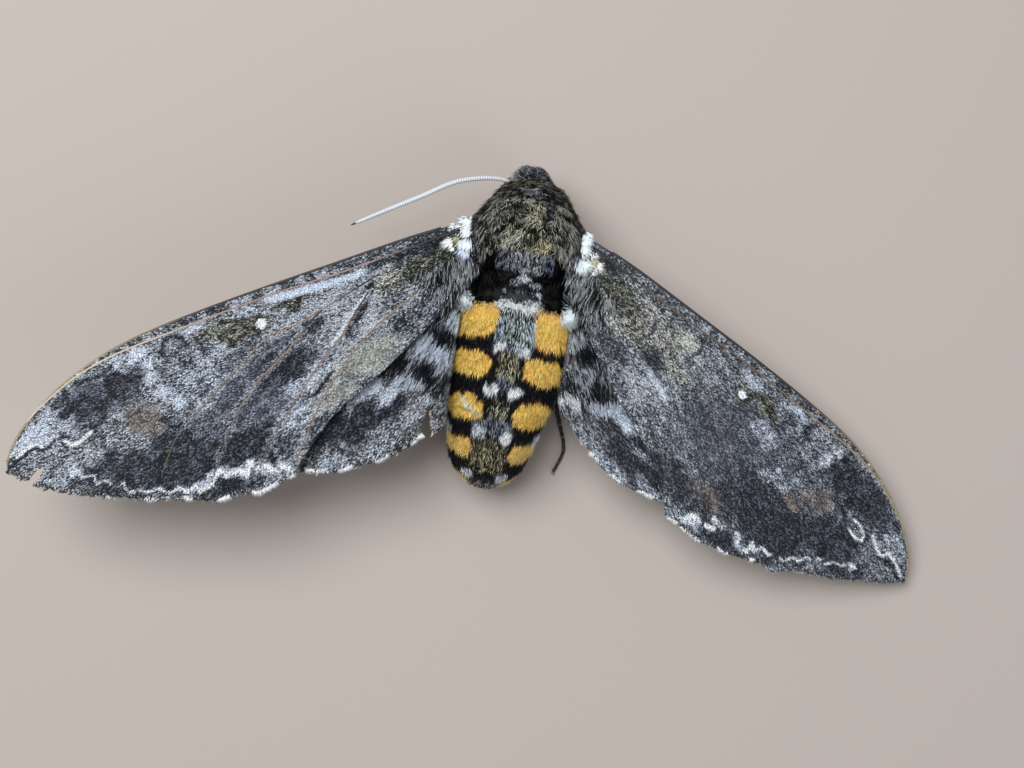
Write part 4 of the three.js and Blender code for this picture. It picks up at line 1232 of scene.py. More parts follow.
# The white zigzag inside the outer margin.
FORE_ZIGZAG = {
    "left": [
        (44.3, 3.3), (43.2, 3.5), (43.5, 4.2), (42.3, 4.5), (42.5, 5.3), (41.3, 5.4), (41.3, 6.3),
        (40.2, 6.4), (40.2, 7.5), (39.2, 7.7), (38.7, 8.4), (37.4, 8.6), (36.8, 9.3), (35.6, 9.4),
        (35.1, 10), (34.2, 9.8), (33.9, 10.7), (32.6, 10.5), (31.3, 9.7), (30.9, 10.6), (29.8, 10.5),
        (29.4, 11.4), (28.9, 10.9), (28.5, 10.1), (28.1, 10.4), (28.6, 11.3), (27.2, 11.4), (27, 12.1),
        (25.9, 12), (25.3, 12.8),
    ],
    "right": [
        (44.6, 3.2), (43.4, 3.4), (43, 4.1), (42, 4.3), (41.5, 5), (40.4, 5.1), (40.5, 5.9), (39.4, 6),
        (39.2, 6.9), (38.3, 7.1), (38, 7.9), (36.9, 7.9), (36.3, 8.5), (35.1, 8.6), (34.7, 9.3), (34, 8.9),
        (34.2, 9.9), (32.8, 9.9), (32.4, 9.4), (31, 9.4), (30.4, 10), (29, 9.9), (29.8, 10.8), (28.4, 11.4),
        (27.2, 11.3), (26.8, 12), (26, 12.4),
    ],
}
DISC_SPOT = {"left": (21.3, -1.15), "right": (21.7, -0.8)}

# Bare or thinly scaled veins: line, radius at the root and at the tip, colour at the root and at the tip.
PINK_VEIN, TAN_VEIN, PALE_VEIN = tone(146, 126, 120), tone(134, 112, 92), tone(198, 188, 168)
SLATE_VEIN, DUSK_VEIN = tone(92, 88, 90), tone(50, 48, 50)
DULL_VEIN, EDGE_VEIN = tone(98, 86, 76), tone(150, 136, 108)
FORE_VEINS = [
    [
        (0, -0.5), (2.9, -0.85), (6.3, -1.3), (10, -1.75), (13.6, -2.3), (17.2, -2.95), (20.2, -3.4),
        (24.4, -3.95), (28, -4.35), (31.3, -4.75), (35, -5.1), (37.4, -5.15), (39.9, -4.95), (42.4, -4.4),
        (45.2, -3.6), (46.9, -2.75),
    ],
    [
        (3, 2), (5.2, 2.6), (7.7, 3.4), (9.9, 3.85), (12.4, 4.5), (14.7, 5.5), (17.2, 6.75), (19.7, 8.3),
        (21.6, 9.8), (24.1, 11.9), (24.8, 12.7),
    ],
    [(10.8, 0.9), (13.3, 2.4), (15.2, 3.6), (18, 4.9), (21, 6.6), (24.1, 8.3), (25.8, 9.4), (28.6, 11.8)],
    [(15.6, 0.4), (16.9, 0.8), (19.9, 2.2), (23, 3.3), (25.2, 4.1), (27.4, 5.5), (29.9, 7.6), (33.4, 11)],
    [
        (9, -0.2), (14, 0.2), (18.3, 0.5), (21.6, 0.36), (24.4, 1.3), (27.4, 2.4), (29.9, 3.4), (32.7, 4.5),
        (34.4, 5.4), (37.6, 8.4),
    ],
    [(24.4, 1.3), (29, 1.4), (34, 2.4), (39, 4.2), (41.6, 6)],
    [(22.4, -0.6), (28, -0.7), (34, -0.4), (40, 0.9), (45, 3)],
    [(22.6, -2), (29, -2.4), (36, -2.3), (42, -1.4), (47, 0.4)],
]
FORE_VEIN_LOOKS = {
    "left": [
        (0.1, 0.1, PINK_VEIN, PALE_VEIN), (0.095, 0.08, TAN_VEIN, TAN_VEIN),
        (0.09, 0.06, TAN_VEIN, DULL_VEIN), (0.09, 0.06, TAN_VEIN, DULL_VEIN),
        (0.09, 0.06, TAN_VEIN, DULL_VEIN), (0.05, 0.03, SLATE_VEIN, SLATE_VEIN),
        (0.05, 0.03, SLATE_VEIN, SLATE_VEIN), (0.05, 0.03, SLATE_VEIN, SLATE_VEIN),
    ],
    "right": [
        (0.11, 0.1, DULL_VEIN, EDGE_VEIN), (0.06, 0.05, DUSK_VEIN, DUSK_VEIN),
        (0.06, 0.05, DUSK_VEIN, DUSK_VEIN), (0.06, 0.05, DULL_VEIN, DUSK_VEIN),
        (0.06, 0.05, DUSK_VEIN, DUSK_VEIN), (0.05, 0.03, DUSK_VEIN, DUSK_VEIN),
        (0.05, 0.03, DUSK_VEIN, DUSK_VEIN), (0.05, 0.03, DUSK_VEIN, DUSK_VEIN),
    ],
}
HIND_VEIN_LOOKS = {
    "left": (0.07, 0.04, TAN_VEIN, SLATE_VEIN),
    "right": (0.05, 0.04, DUSK_VEIN, DUSK_VEIN),
}
HIND_VEINS = [
    [(2, 0), (8, -0.6), (16, -1.2), (24, -0.8)], [(2, 0.6), (7, 1), (14, 1.8), (20, 3.2), (26, 4.4)],
    [(7, 1), (14.8, 4.2), (16.9, 5.2), (19.1, 6.6), (21, 7.6), (22.8, 9)],
    [(2, 1), (8, 2.6), (12.1, 4.5), (13.9, 5.9), (16.2, 7.7), (18, 10.4)],
    [(5, 3), (8.6, 5), (11.6, 7), (12.8, 8.4), (14.4, 9.8), (15.2, 11.2)],
    [(3, 3.2), (6, 6.2), (9, 8.6), (11.4, 10.8)],
]
HIND_CLOUDS = {
    "left": [
        (16, 5, 5, 3.4, 0.26, GREY), (13, 6.4, 1.6, 0.8, 0.84, BLUE), (15.2, 4.9, 1.7, 0.9, 0.92, BLUE),
        (13, 4.6, 0.9, 0.5, 0.14, DEEP), (13.9, 7.6, 1.5, 0.7, 0.1, DEEP), (17, 6.5, 1.5, 0.7, 0.08, DEEP),
        (19.4, 6.6, 1.8, 1.4, 0.12, DEEP), (21.4, 5.2, 2.6, 1.4, 0.08, DEEP),
        (17.4, 10, 3, 0.7, 0.44, BLUE), (17.6, 7.9, 3.4, 0.9, 0.12, DEEP),
        (22.4, 8.6, 2.4, 1.1, 0.42, BLUE), (15, 8.9, 2, 0.6, 0.3, GREY), (13.6, 9.6, 1.2, 1, 0.5, GREY),
        (8.4, 4.9, 1.5, 0.9, 0.86, BLUE), (7.5, 6.8, 1.3, 1.2, 0.86, BLUE), (6, 5.2, 1, 1.3, 0.06, DEEP),
        (4, 4.8, 1.1, 1, 0.86, BLUE), (9.6, 7, 1, 1.1, 0.06, DEEP), (11.4, 4.9, 1.1, 0.8, 0.08, DEEP),
        (11, 7, 0.7, 0.7, 0.8, BLUE), (10.8, 9, 1, 0.6, 0.62, GREY), (8.6, 9.2, 1, 0.6, 0.2, DEEP),
    ],
    "right": [
        (17, 7.6, 6.6, 2.6, 0.06, DEEP), (17, 8, 2, 0.5, 0.26, BLUE), (12.6, 6.8, 2.1, 0.75, 0.95, BLUE),
        (10.6, 7.9, 1.3, 0.75, 0.92, BLUE), (14, 8.6, 1.8, 0.8, 0.08, DEEP), (15, 11, 5, 0.5, 0.4, BLUE),
        (20, 9.6, 1.8, 0.5, 0.4, BLUE), (7.3, 7, 1.2, 1, 0.6, GREY), (4.2, 4.9, 1, 1, 0.7, GREY),
        (6, 5.4, 0.9, 0.8, 0.1, DEEP), (9.4, 6.8, 0.9, 0.8, 0.1, DEEP), (6, 9, 1.4, 0.8, 0.16, DEEP),
        (8.2, 9.7, 1.3, 0.42, 0.95, LINE_WHITE),
    ],
}


def mark_layers(dark, pale, share):
    """The running state of a wing's marks, and a function that lays one more over it."""
    state = dict(dark=dark, pale=pale, share=share)

    def lay(mask, level, dust=None):
        if dust is not None:
            for key, colour in zip(("pale", "dark"), dust):
                state[key] = mix(state[key], colour, mask)
        state["share"] = state["share"] + (level - state["share"]) * mask

    return state, lay


def costa_gap(s, t):
    """Distance behind the forewing's front edge."""
    costa = flat_spline(FORE_COSTA, np.linspace(0, 1, 200))
    return t - np.interp(s, costa[:, 0], costa[:, 1])


def fore_marks(s, t, side):
    """Dark colour, pale colour and share of pale scales over the forewing's upper side."""
    wings = bpy.context.scene.moth_wings
    left = side == "left"
    flat = np.stack([s, t], -1)
    state, lay = mark_layers(np.array(wings.dark), np.array(wings.pale), 0.46 if left else 0.27)
    sway_s = 1.1 * (mottle(flat, 1.3, 5) - 0.5) + 0.5 * (mottle(flat, 0.5, 6) - 0.5)
    sway_t = 0.9 * (mottle(flat, 1.1, 7) - 0.5) + 0.4 * (mottle(flat, 0.45, 8) - 0.5)
    for cs, ct, rs, rt, level, dust in FORE_CLOUDS[side]:
        lay(spot(s + sway_s, t + sway_t, (cs, ct), (rs, rt), 0.42), level if left else 0.84 * level, dust)
    # wavy cross lines over the middle and outer wing
    waves = np.sin(2 * math.pi * (0.42 * s + 0.1 * t + 0.35 * sway_s))
    state["share"] = state["share"] - 0.08 * waves * window(s, 20, 44, 3)
    front = costa_gap(s, t)
    depth = np.interp(s, [0, 10, 30, 40], [0.5, 1.15, 1.05, 0.5])
    strip = smooth(front, depth + 0.12, depth - 0.12)
    lay(strip, 0.2 if left else 0.14, GREY)
    lay(strip * smooth(mottle(flat * [1, 0.3], 0.8, 9), 0.5, 0.64) * smooth(s, 5, 14), 0.56 if left else 0.4)
    for points, width, level, dust in FORE_LINES[side]:
        jitter, soft = (0.12, 0.13) if width < 0.5 else (0.3, 0.3)
        lay(stroke(s + jitter * sway_s, t + jitter * sway_t, points, width, soft), level, dust)
    zigzag = FORE_ZIGZAG[side]
    outside = line_distance(s, t, zigzag)
    lay(smooth(outside, 0.8, 0.2) * smooth(s, 36, 30) * (0.4 if left else 0.25), 0.6 if left else 0.5, BLUE)
    line = stroke(s + 0.3 * sway_s, t + 0.3 * sway_t, zigzag, np.interp(s, [30, 38], [0.5, 0.24]), 0.1)
    broken = smooth(mottle(flat, 0.6, 22), *((0.1, 0.35) if left else (0.2, 0.45)))
    lay(line * (broken * np.interp(s, [34, 42], [1, 0.7])), 0.95, LINE_WHITE)
    centre = DISC_SPOT[side]
    lay(spot(s, t, centre, (1.1, 0.9), 0.25) * 0.75, 0.08, OLIVE)
    radii, white = ((0.55, 0.48), CLEAR_WHITE) if left else ((0.5, 0.36), PUFF_WHITE)
    lay(spot(s, t, centre, radii, 0.15), 1.0, white)
    veins = np.min([line_distance(s, t, vein) for vein in FORE_VEINS[1:5]], axis=0)
    lay(smooth(veins, 0.55, 0.3) * smooth(s, 36, 30) * (0.45 if left else 0.2), 0.7, GREY)
    fan = flat[:, 1] - 0.22 * flat[:, 0]
    streak = mottle(np.stack([s / 9, fan], -1), 0.34, 23) - 0.5
    grain = (0.3 * (mottle(flat * [0.75, 1.25], 0.62, 10) - 0.5)
             + 0.3 * (mottle(flat * [0.8, 1.5], 0.26, 11) - 0.5) + 0.26 * streak)
    state["share"] = state["share"] + grain * smooth(state["share"], 1.0, 0.75)
    return state["dark"], state["pale"], np.clip(state["share"], 0.02, 1)


def hind_marks(s, t, side):
    """The same for the hindwing."""
    flat = np.stack([s, t], -1)
    state, lay = mark_layers(tone(30, 30, 35), tone(180, 184, 192), 0.3)
    sway_s = 1.2 * (mottle(flat, 1.2, 12) - 0.5) + 0.4 * (mottle(flat, 0.5, 14) - 0.5)
    sway_t = 1.0 * (mottle(flat, 1.2, 13) - 0.5) + 0.4 * (mottle(flat, 0.5, 15) - 0.5)
    for cs, ct, rs, rt, level, dust in HIND_CLOUDS[side]:
        lay(spot(s + sway_s, t + sway_t, (cs, ct), (rs, rt), 0.4), level, dust)
    grain = 0.34 * (mottle(flat, 0.6, 16) - 0.5) + 0.3 * (mottle(flat, 0.32, 17) - 0.5)
    return state["dark"], state["pale"], np.clip(state["share"] + grain, 0.02, 1)


def upper_marks(kind, side, s, t):
    """The marks of a fore or hind wing's upper side."""
    return (fore_marks if kind == "fore" else hind_marks)(s, t, side)


def under_marks(s, t):
    """Underside: brownish grey with faint wavy bands, paler at the root."""
    flat = np.stack([s, t], -1)
    bands = np.sin(2 * math.pi * (0.12 * s + 0.05 * t + 0.3 * mottle(flat, 3, 18)))
    share = 0.42 + 0.18 * bands + 0.25 * smooth(s, 16, 3)
    return tone(84, 78, 72), tone(186, 181, 174), share + 0.25 * (mottle(flat, 0.9, 19) - 0.5)


# ------------------------------------------------------------------ body coat
ROOT_DEPTH = 0.05  # how far a hair's root is sunk in the skin
GROUND_GAP = 0.005  # hair and scales stop this far over the ground


def trunk_fur(name, slot, count, low, high, seed, length, width, material="fur", rise=0.62, keep=None,
              unruly=1.0, lock=0.45, clump=0.55, flank=0.0):
    """Fur over the trunk between two stations, lying back in locks, fuller along the flanks."""
    rng = np.random.default_rng(seed)
    station, angle = trunk_spread(count, low, high, seed)
    if keep is not None:
        kept = keep(station, angle)
        station, angle = station[kept], angle[kept]
        count = len(station)
    place, up, tailward = trunk_frame(station, angle, coat_depth(station))
    marks_place = trunk(station, angle, MARKS_DEPTH)
    dark, pale, share = trunk_marks(station, angle, marks_place)
    # the share of pale hairs rises with the same noise that makes the locks longer and higher, so the raised
    # locks come out paler and the gaps between them darker: painted light and shade on the locks
    locks = mottle(marks_place, clump, seed) - 0.5
    share = share + lock * locks * smooth(share, 1.0, 0.8)
    around = np.cross(up, tailward)
    lean = unruly * (1.1 * (mottle(marks_place, 1.2, seed + 1) - 0.5)
                     + 0.9 * (mottle(marks_place, 0.5, seed + 2) - 0.5) + 0.35 * (rng.random(count) - 0.5))
    lie = unit(tailward + lean[:, None] * around)
    long = length * (0.7 + 0.6 * rng.random(count)) * (1 + 0.3 * locks)
    wide = width * (0.75 + 0.5 * rng.random(count))
    fuller = 1 + flank * smooth(np.abs(np.cos(angle)), 0.75, 0.95)
    lift = rise * (0.72 + 0.4 * rng.random(count) + 0.5 * locks) * fuller
    curl = unruly * (0.6 * (rng.random(count) - 0.5) + 0.8 * (mottle(marks_place, 0.45, seed + 3) - 0.5))
    colour = pick_colours(dark, pale, share, rng)
    # painted shade: each hair is darkened towards its root, where the coat shades it, but for the orange and
    # the clear white ones; its tip is lightened past its colour as painted light
    clear = np.maximum(smooth(colour[:, 0] - colour[:, 2], 0.2, 0.5), smooth(colour.min(1), 0.3, 0.7))
    deep = 0.2 + 0.8 * clear
    region = np.stack([angle / (2 * math.pi), (station - low) / (high - low)], -1) * 0.98 + 0.01
    inner, outer = colour * deep[:, None], np.minimum(colour * 1.38, 1)
    points, faces, colours, uv = blades(place - ROOT_DEPTH * up, lie, up, long, wide, lift, 0.24, curl,
                                        inner, outer, region, SHORT_BLADE)
    points[:, 2] = np.maximum(points[:, 2], GROUND_GAP)
    make_piece(name, points, faces, colours, fur_finish(material), slot, uv)


def tuft(centre, normal, lie, spread, count, length, width, dust, rng, rise, bend, ball=0.0, dome=0.0):
    """A small tuft of hair about one place, as blade arguments; ball runs from swept (0) to round (1),
    and the dome is how high its middle stands."""
    normal, lie = unit(np.array(normal, float)), np.array(lie, float)
    lie = unit(lie - normal * (lie @ normal))
    across = np.cross(normal, lie)
    offset = rng.normal(0, 0.42, (count, 2)) * spread
    root = np.array(centre) + offset[:, :1] * across + offset[:, 1:] * lie
    fan = unit(lie + (0.4 * offset[:, :1] / spread + 0.12 * rng.normal(0, 1, (count, 1))) * across)
    middle = np.clip(1 - np.linalg.norm(offset, axis=1) / spread, 0, 1)
    fan = unit((1 - ball) * fan + ball * 2 * (root - centre) / spread)
    root = root + normal * (dome * np.sqrt(middle))[:, None]
    pale, dark = dust
    colour = pick_colours(dark, pale, np.full(count, 0.86), rng, 0.16)
    # inner and outer: each hair darkened at its root as painted shade and lightened at its tip as painted
    # light
    return dict(root=root, uv=offset, lie=fan, up=np.tile(normal, (count, 1)),
                length=length * (0.7 + 0.5 * rng.random(count)),
                width=width * (0.8 + 0.4 * rng.random(count)),
                rise=rise * (0.6 + 0.8 * rng.random(count)) * (1 + 1.5 * ball * middle), bend=bend,
                curl=0.4 * (rng.random(count) - 0.5), inner=colour * 0.92, outer=np.minimum(colour * 1.15, 1))


def fur_batch(batches, form=SHORT_BLADE):
    """Fur from several sets of blade arguments, each set in a cell of its own on the bake map."""
    grid = math.ceil(math.sqrt(len(batches)))
    for k, batch in enumerate(batches):
        low, high = batch["uv"].min(0), batch["uv"].max(0)
        within = 0.03 + 0.94 * (batch["uv"] - low) / np.maximum(high - low, 1e-6)
        batch["uv"] = (within + [k % grid, k // grid]) / grid
        for key, value in batch.items():
            if np.ndim(value) == 0:
                batch[key] = np.full(len(batch["root"]), value)
    return blades(form=form, **{key: np.concatenate([b[key] for b in batches]) for key in batches[0]})


def side_by_side(name, first, second, slot, shaped=None):
    """One piece of two batches of fur, each on its own half of the bake map."""
    half, over = np.array([0.5, 1.0]), [0.5, 0]
    points, faces, colours, uv = join([(*first[:3], first[3] * half), (*second[:3], second[3] * half + over)])
    points = shaped(points) if shaped else points
    make_piece(name, points, faces, colours, fur_finish(), slot, uv)


# Tufts on the forewing roots: place in the wing's plane, heading, spread, count, length and colours.
WING_TUFTS = {
    "left": [
        (-1.25, -0.9, (1, 0.2), 0.5, 190, 0.8, PUFF_WHITE),
        (-0.75, -0.15, (1, 0), 0.5, 190, 0.8, CLEAR_WHITE),
        (-0.25, -0.6, (1, 0.05), 0.46, 160, 0.8, CLEAR_WHITE),
        (0.3, -0.75, (1, 0), 0.42, 120, 0.6, CLEAR_WHITE),
        (0.45, 0.05, (1, 0.2), 0.36, 130, 0.6, OLIVE_TUFT), (0.95, 0, (1, -0.1), 0.2, 45, 0.8, CLEAR_CREAM),
        (1.1, -0.22, (1, -0.2), 0.13, 26, 0.9, CLEAR_CREAM),
        (1.2, 0.1, (1, 0.1), 0.14, 30, 1.3, CLEAR_WHITE), (1.1, 0.32, (1, 0.42), 0.12, 24, 1, CLEAR_CREAM),
        (1.4, 0.8, (1, 0.3), 0.2, 60, 0.4, CLEAR_WHITE),
        (-0.1, 0.85, (0.8, 0.62), 0.5, 260, 1.2, PUFF_WHITE),
        (0.5, 1.5, (0.8, 0.9), 0.34, 110, 1, CLEAR_BLUE),
    ],
    "right": [
        (-1.7, -0.85, (1, 0.1), 0.36, 120, 0.8, PUFF_WHITE),
        (-1.35, -0.5, (1, 0.25), 0.46, 170, 0.8, PUFF_WHITE),
        (-0.85, 0.2, (1, 0.15), 0.48, 180, 0.8, CLEAR_WHITE),
        (0.1, -0.1, (1, 0), 0.42, 150, 0.7, CLEAR_WHITE),
        (0.65, 0.5, (1, 0.15), 0.36, 130, 0.6, OLIVE_TUFT),
        (1.2, 0.35, (1, -0.1), 0.18, 45, 0.7, CLEAR_CREAM),
        (1.4, 0.2, (1, -0.2), 0.13, 26, 0.7, CLEAR_CREAM), (1.45, 0.5, (1, 0.1), 0.13, 30, 1, CLEAR_WHITE),
        (1.3, 0.75, (1, 0.4), 0.12, 24, 0.8, CLEAR_CREAM), (1.6, 1.25, (1, 0.3), 0.2, 60, 0.4, CLEAR_WHITE),
        (0.05, 1.25, (0.9, 0.45), 0.5, 260, 1.3, PUFF_WHITE),
    ],
}
# Tufts beside the waist: place, normal, heading, spread, count, length and colours.
WAIST_TUFTS = [
    ((-5.3, -2.2, 10.85), (-0.4, 0, 1), (-0.7, -0.5, 0.1), 0.76, 1500, 0.72, PUFF_WHITE),
    ((5.2, -2.65, 10.8), (0.4, 0, 1), (0.7, -0.5, 0.1), 0.76, 1500, 0.72, PUFF_WHITE),
]


SHOULDER_HAIRS, SADDLE_HAIRS, RIM_HAIRS, WAIST_HAIRS = 2500, 850, 1500, 850
WAIST_TUFT_WIDTH, WING_TUFT_WIDTH = 0.055, 0.13


def rooted(station, angle):
    """Roots of loose hair on the trunk's skin, their outward normals and directions to the tail."""
    place, up, tailward = trunk_frame(station, angle, coat_depth(station))
    return place - ROOT_DEPTH * up, place, up, tailward


def shoulder_hair(side, count, rng):
    """Long silky hair that trails from the shoulder over the wing's root."""
    sign = SIDES[side]["sign"]
    lean_in = 0.34 * rng.random(count) ** 1.4
    angle = np.where(sign > 0, 0.28 + lean_in, math.pi - 0.28 - lean_in)
    last = np.interp(np.cos(angle), *FUR_EDGE) - 0.15
    station = 2.2 + (last - 2.2) * rng.random(count)
    root, place, up, tailward = rooted(station, angle)
    outward = 0.12 + 0.16 * rng.random(count) - 0.2 * smooth(station, 3.6, 4.9)
    sideways = outward + 0.7 * (mottle(place, 0.5, 33) - 0.5)
    lie = along_surface(unit(tailward + sideways[:, None] * np.array([sign, 0, 0.12])), up)
    silver = smooth(station, 3.2, 4.4)
    pale = mix(tone(182, 186, 182), tone(204, 208, 214), silver)
    colour = pick_colours(tone(18, 18, 18), pale, 0.38 + 0.6 * (mottle(place, 0.32, 34) - 0.5), rng)
    # inner and outer: each hair darkened at its root as painted shade and lightened at its tip as painted
    # light
    return dict(root=root, uv=np.stack([angle, station], -1), lie=lie, up=up,
                length=(1.15 + 0.7 * rng.random(count)) * (1 - 0.2 * silver),
                width=0.085 + 0.03 * rng.random(count), rise=0.42 + 0.3 * rng.random(count), bend=0.26,
                curl=0.7 * (rng.random(count) - 0.5) + 0.9 * (mottle(place, 0.4, 38) - 0.5),
                inner=colour * 0.3, outer=np.minimum(colour * 1.3, 1))


def waist_hair(side, count, rng):
    """Dark hair that stands out from the sides of the waist over the roots of the hindwings."""
    sign = SIDES[side]["sign"]
    low = -0.25 + 0.7 * rng.random(count)
    station = 4.3 + 2.2 * rng.random(count)
    root, place, up, tailward = rooted(station, np.where(sign > 0, low, math.pi - low))
    lie = unit(tailward + (0.6 + 0.8 * rng.random(count))[:, None] * np.array([sign, 0, 0.1]))
    share = 0.2 + 0.5 * (mottle(place, 0.4, 40) - 0.5)
    colour = pick_colours(tone(12, 12, 13), tone(170, 174, 178), share, rng)
    # inner and outer: each hair darkened at its root as painted shade and lightened at its tip as painted
    # light
    return dict(root=root, uv=np.stack([low, station], -1), lie=lie, up=up,
                length=1.2 + 0.6 * rng.random(count), width=0.08 + 0.03 * rng.random(count),
                rise=0.2 + 0.3 * rng.random(count), bend=0.2, curl=0.6 * (rng.random(count) - 0.5),
                inner=colour * 0.4, outer=colour * 1.1)


def saddle_hair(count, rng):
    """Pale strands over the black saddle, spreading back from the middle."""
    side = rng.uniform(-0.3, 0.42, count)
    station = 5.62 + 0.72 * rng.random(count) + 0.1 * np.abs(side - 0.06)
    root, place, up, tailward = rooted(station, np.arccos(side))
    sideways = 1.5 * (side - 0.06) + 0.2 * rng.normal(0, 1, count)
    share = 0.74 + 0.9 * (mottle(place, 0.35, 41) - 0.5)
    colour = pick_colours(tone(10, 11, 15), tone(206, 218, 236), share, rng)
    # inner and outer: each hair darkened at its root as painted shade and lightened at its tip as painted
    # light
    return dict(root=root, uv=np.stack([side, station], -1),
                lie=unit(tailward + sideways[:, None] * np.array([1.0, 0, 0])), up=up,
                length=0.7 + 0.6 * rng.random(count), width=0.065 + 0.03 * rng.random(count),
                rise=0.12 + 0.16 * rng.random(count), bend=0.2, curl=0.6 * (rng.random(count) - 0.5),
                inner=colour * 0.5, outer=np.minimum(colour * 1.2, 1))


def rim_hair(count, rng):
    """The dense pale fringe along the front edge of the abdomen."""
    side = np.where(rng.random(count) < 0.72, rng.uniform(-0.4, 0.42, count), rng.uniform(-0.86, 0.86, count))
    drift = 0.16 * (mottle(np.stack([side, 0 * side], -1), 0.09, 37) - 0.5)
    station = ABDOMEN_STATION - 0.07 + 0.06 * side + drift + rng.normal(0, 0.035, count)
    root, place, up, tailward = rooted(station, np.arccos(side))
    back = (1 - 1.25 * rng.random((count, 1))) * tailward
    lie = unit(back + 0.5 * rng.normal(0, 1, (count, 1)) * np.cross(up, tailward))
    gold = smooth(np.abs(side), 0.34, 0.46)
    pale = mix(tone(240, 249, 255), tone(255, 214, 140), gold)
    colour = pick_colours(pale * 0.6, pale, 0.66 + 0.7 * (mottle(place, 0.3, 36) - 0.5), rng, 0.2)
    # outer: each hair lightened at its tip as painted light
    return dict(root=root, uv=np.stack([side, station], -1), lie=lie, up=up,
                length=(0.38 + 0.06 * gold) * (0.5 + 1.0 * rng.random(count)),
                width=0.055 + 0.02 * rng.random(count), rise=0.45 + 0.4 * rng.random(count), bend=0.3,
                curl=0.3 * (rng.random(count) - 0.5), inner=colour, outer=np.minimum(colour * 1.1, 1))


class MOTH_OT_body_coat(bpy.types.Operator):
    """Fur over collar, thorax, saddle and abdomen, with the white tufts"""

    bl_idname = "moth.body_coat"
    bl_label = "Body coat"

    def execute(self, context):
        settings = context.scene.moth_coat
        hair, pile = in_mm(settings.hair_length), in_mm(settings.pile_length)
        width = in_mm(settings.hair_width)

        def before_edge(station, angle):
            return station < np.interp(np.cos(angle), *FUR_EDGE)

        def behind_edge(station, angle):
            return station >= np.interp(np.cos(angle), *FUR_EDGE) - 0.1

        trunk_fur("coat_collar", "thorax_coat", count=12500, low=0.05, high=1.9, seed=21,
                  length=hair * 0.56, width=width, unruly=2.0, lock=1.1, clump=0.34, flank=0.4)
        trunk_fur("coat_thorax", "thorax_coat", count=28400, low=1.7, high=4.95, seed=22,
                  length=hair * 0.68, width=width, keep=before_edge,
                  unruly=1.9, lock=1.1, clump=0.34, flank=0.5)
        trunk_fur("coat_saddle", "black_coat", count=15000, low=3.6, high=ABDOMEN_STATION - 0.12, seed=23,
                  length=hair * 0.48, width=width * 0.9, material="fur_black", keep=behind_edge, rise=0.45)
        trunk_fur("coat_abdomen_front", "abdomen_coat", count=22500, low=ABDOMEN_STATION - 0.14, high=8.9,
                  seed=24, length=pile, width=width, unruly=0.6, rise=0.42, flank=1.1)
        trunk_fur("coat_abdomen_rear", "abdomen_coat", count=19000, low=8.85, high=TAIL_STATION, seed=25,
                  length=pile * 0.9, width=width * 0.9, unruly=0.6, rise=0.42, flank=0.7)
        rng = np.random.default_rng(26)
        shoulders = fur_batch([shoulder_hair(side, SHOULDER_HAIRS, rng) for side in SIDES], LONG_BLADE)
        batches = [saddle_hair(SADDLE_HAIRS, rng), rim_hair(RIM_HAIRS, rng)]
        batches += [waist_hair(side, WAIST_HAIRS, rng) for side in SIDES]
        for centre, normal, lie, spread, count, length, dust in WAIST_TUFTS:
            batches.append(tuft(centre, normal, lie, spread, count, length, WAIST_TUFT_WIDTH, dust, rng,
                                rise=0.3, bend=0.2, ball=0.12, dome=0.42))
        for side, rows in WING_TUFTS.items():
            for s, t, heading, spread, count, length, dust in rows:
                frames = wing_frame("fore", side, np.array([s]), np.array([t]), 0.12)
                place, up, outward, hindward = (v[0] for v in frames)
                lie = heading[0] * outward + heading[1] * hindward
                batches.append(tuft(place, up, lie, spread, count, length, WING_TUFT_WIDTH, dust, rng,
                                    rise=0.18, bend=0.12))
        side_by_side("coat_tufts", shoulders, fur_batch(batches), "thorax_coat")
        return {"FINISHED"}


def palp_radius(t):
    """A palp's thickness along it, as a share of its greatest."""
    return np.sin(math.pi * (0.2 + 0.72 * t)) ** 0.7


def face_tones(root):
    """Dark and pale colours of the head's fur and the share of pale hairs."""
    x, y, z = root.T
    left = smooth(x, -0.9, -1.9) * smooth(z, 5.8, 7.2)
    chin = smooth(z, 5.6, 4.2)
    pale = mix(tone(168, 180, 196), tone(222, 234, 248), left)
    pale = mix(pale, tone(166, 162, 140), smooth(y, 11.2, 10.0) * smooth(z, 6.8, 8.0) * 0.9)
    pale = mix(pale, tone(214, 212, 206), chin)
    share = 0.29 + 0.5 * left + 0.4 * chin + 0.8 * (mottle(root, 0.3, 35) - 0.5)
    return tone(14, 15, 18), pale, share


def face_ground(points):
    """Colour of the head's skin under its fur: the fur's colours darkened as painted shade under the hair."""
    dark, pale, share = face_tones(points)
    return mix(dark, pale, np.clip(0.6 * share, 0, 1)) * 0.6


def within_dome(points):
    """Hair of the head held within its rounded outline as seen from above, however it grows."""
    flat = points[:, :2] - DOME_CENTRE
    reach = np.linalg.norm(flat, axis=1)
    limit = DOME_RADIUS + 0.6 * (mottle(points, 0.2, 37) - 0.5)
    eased = reach - 0.55 * np.maximum(reach - limit, 0) * smooth(points[:, 2], 3.6, 5.2)
    out = points.copy()
    out[:, :2] = DOME_CENTRE + flat * (eased / np.maximum(reach, 1e-6))[:, None]
    return out


def face_fur(root, up, uv, lie, length, width, rise, rng, unruly=0.35):
    """Blade arguments for hair on the head, spreading about its lie."""
    count = len(root)
    lie = unit(along_surface(lie, up) + unruly * rng.normal(0, 1, (count, 3)))
    colour = pick_colours(*face_tones(root), rng, between=(0.32, 0.74))
    # inner and outer: each hair darkened at its root as painted shade and lightened at its tip as painted
    # light
    return dict(root=root - 0.04 * up, uv=uv, lie=along_surface(lie, up), up=up,
                length=length * (0.7 + 0.6 * rng.random(count)),
                width=width * (0.8 + 0.4 * rng.random(count)),
                rise=rise * (0.6 + 0.8 * rng.random(count)), bend=0.3,
                curl=0.9 * (rng.random(count) - 0.5) + 0.8 * (mottle(root, 0.35, 39) - 0.5),
                inner=colour * 0.4, outer=np.minimum(colour * 1.25, 1))


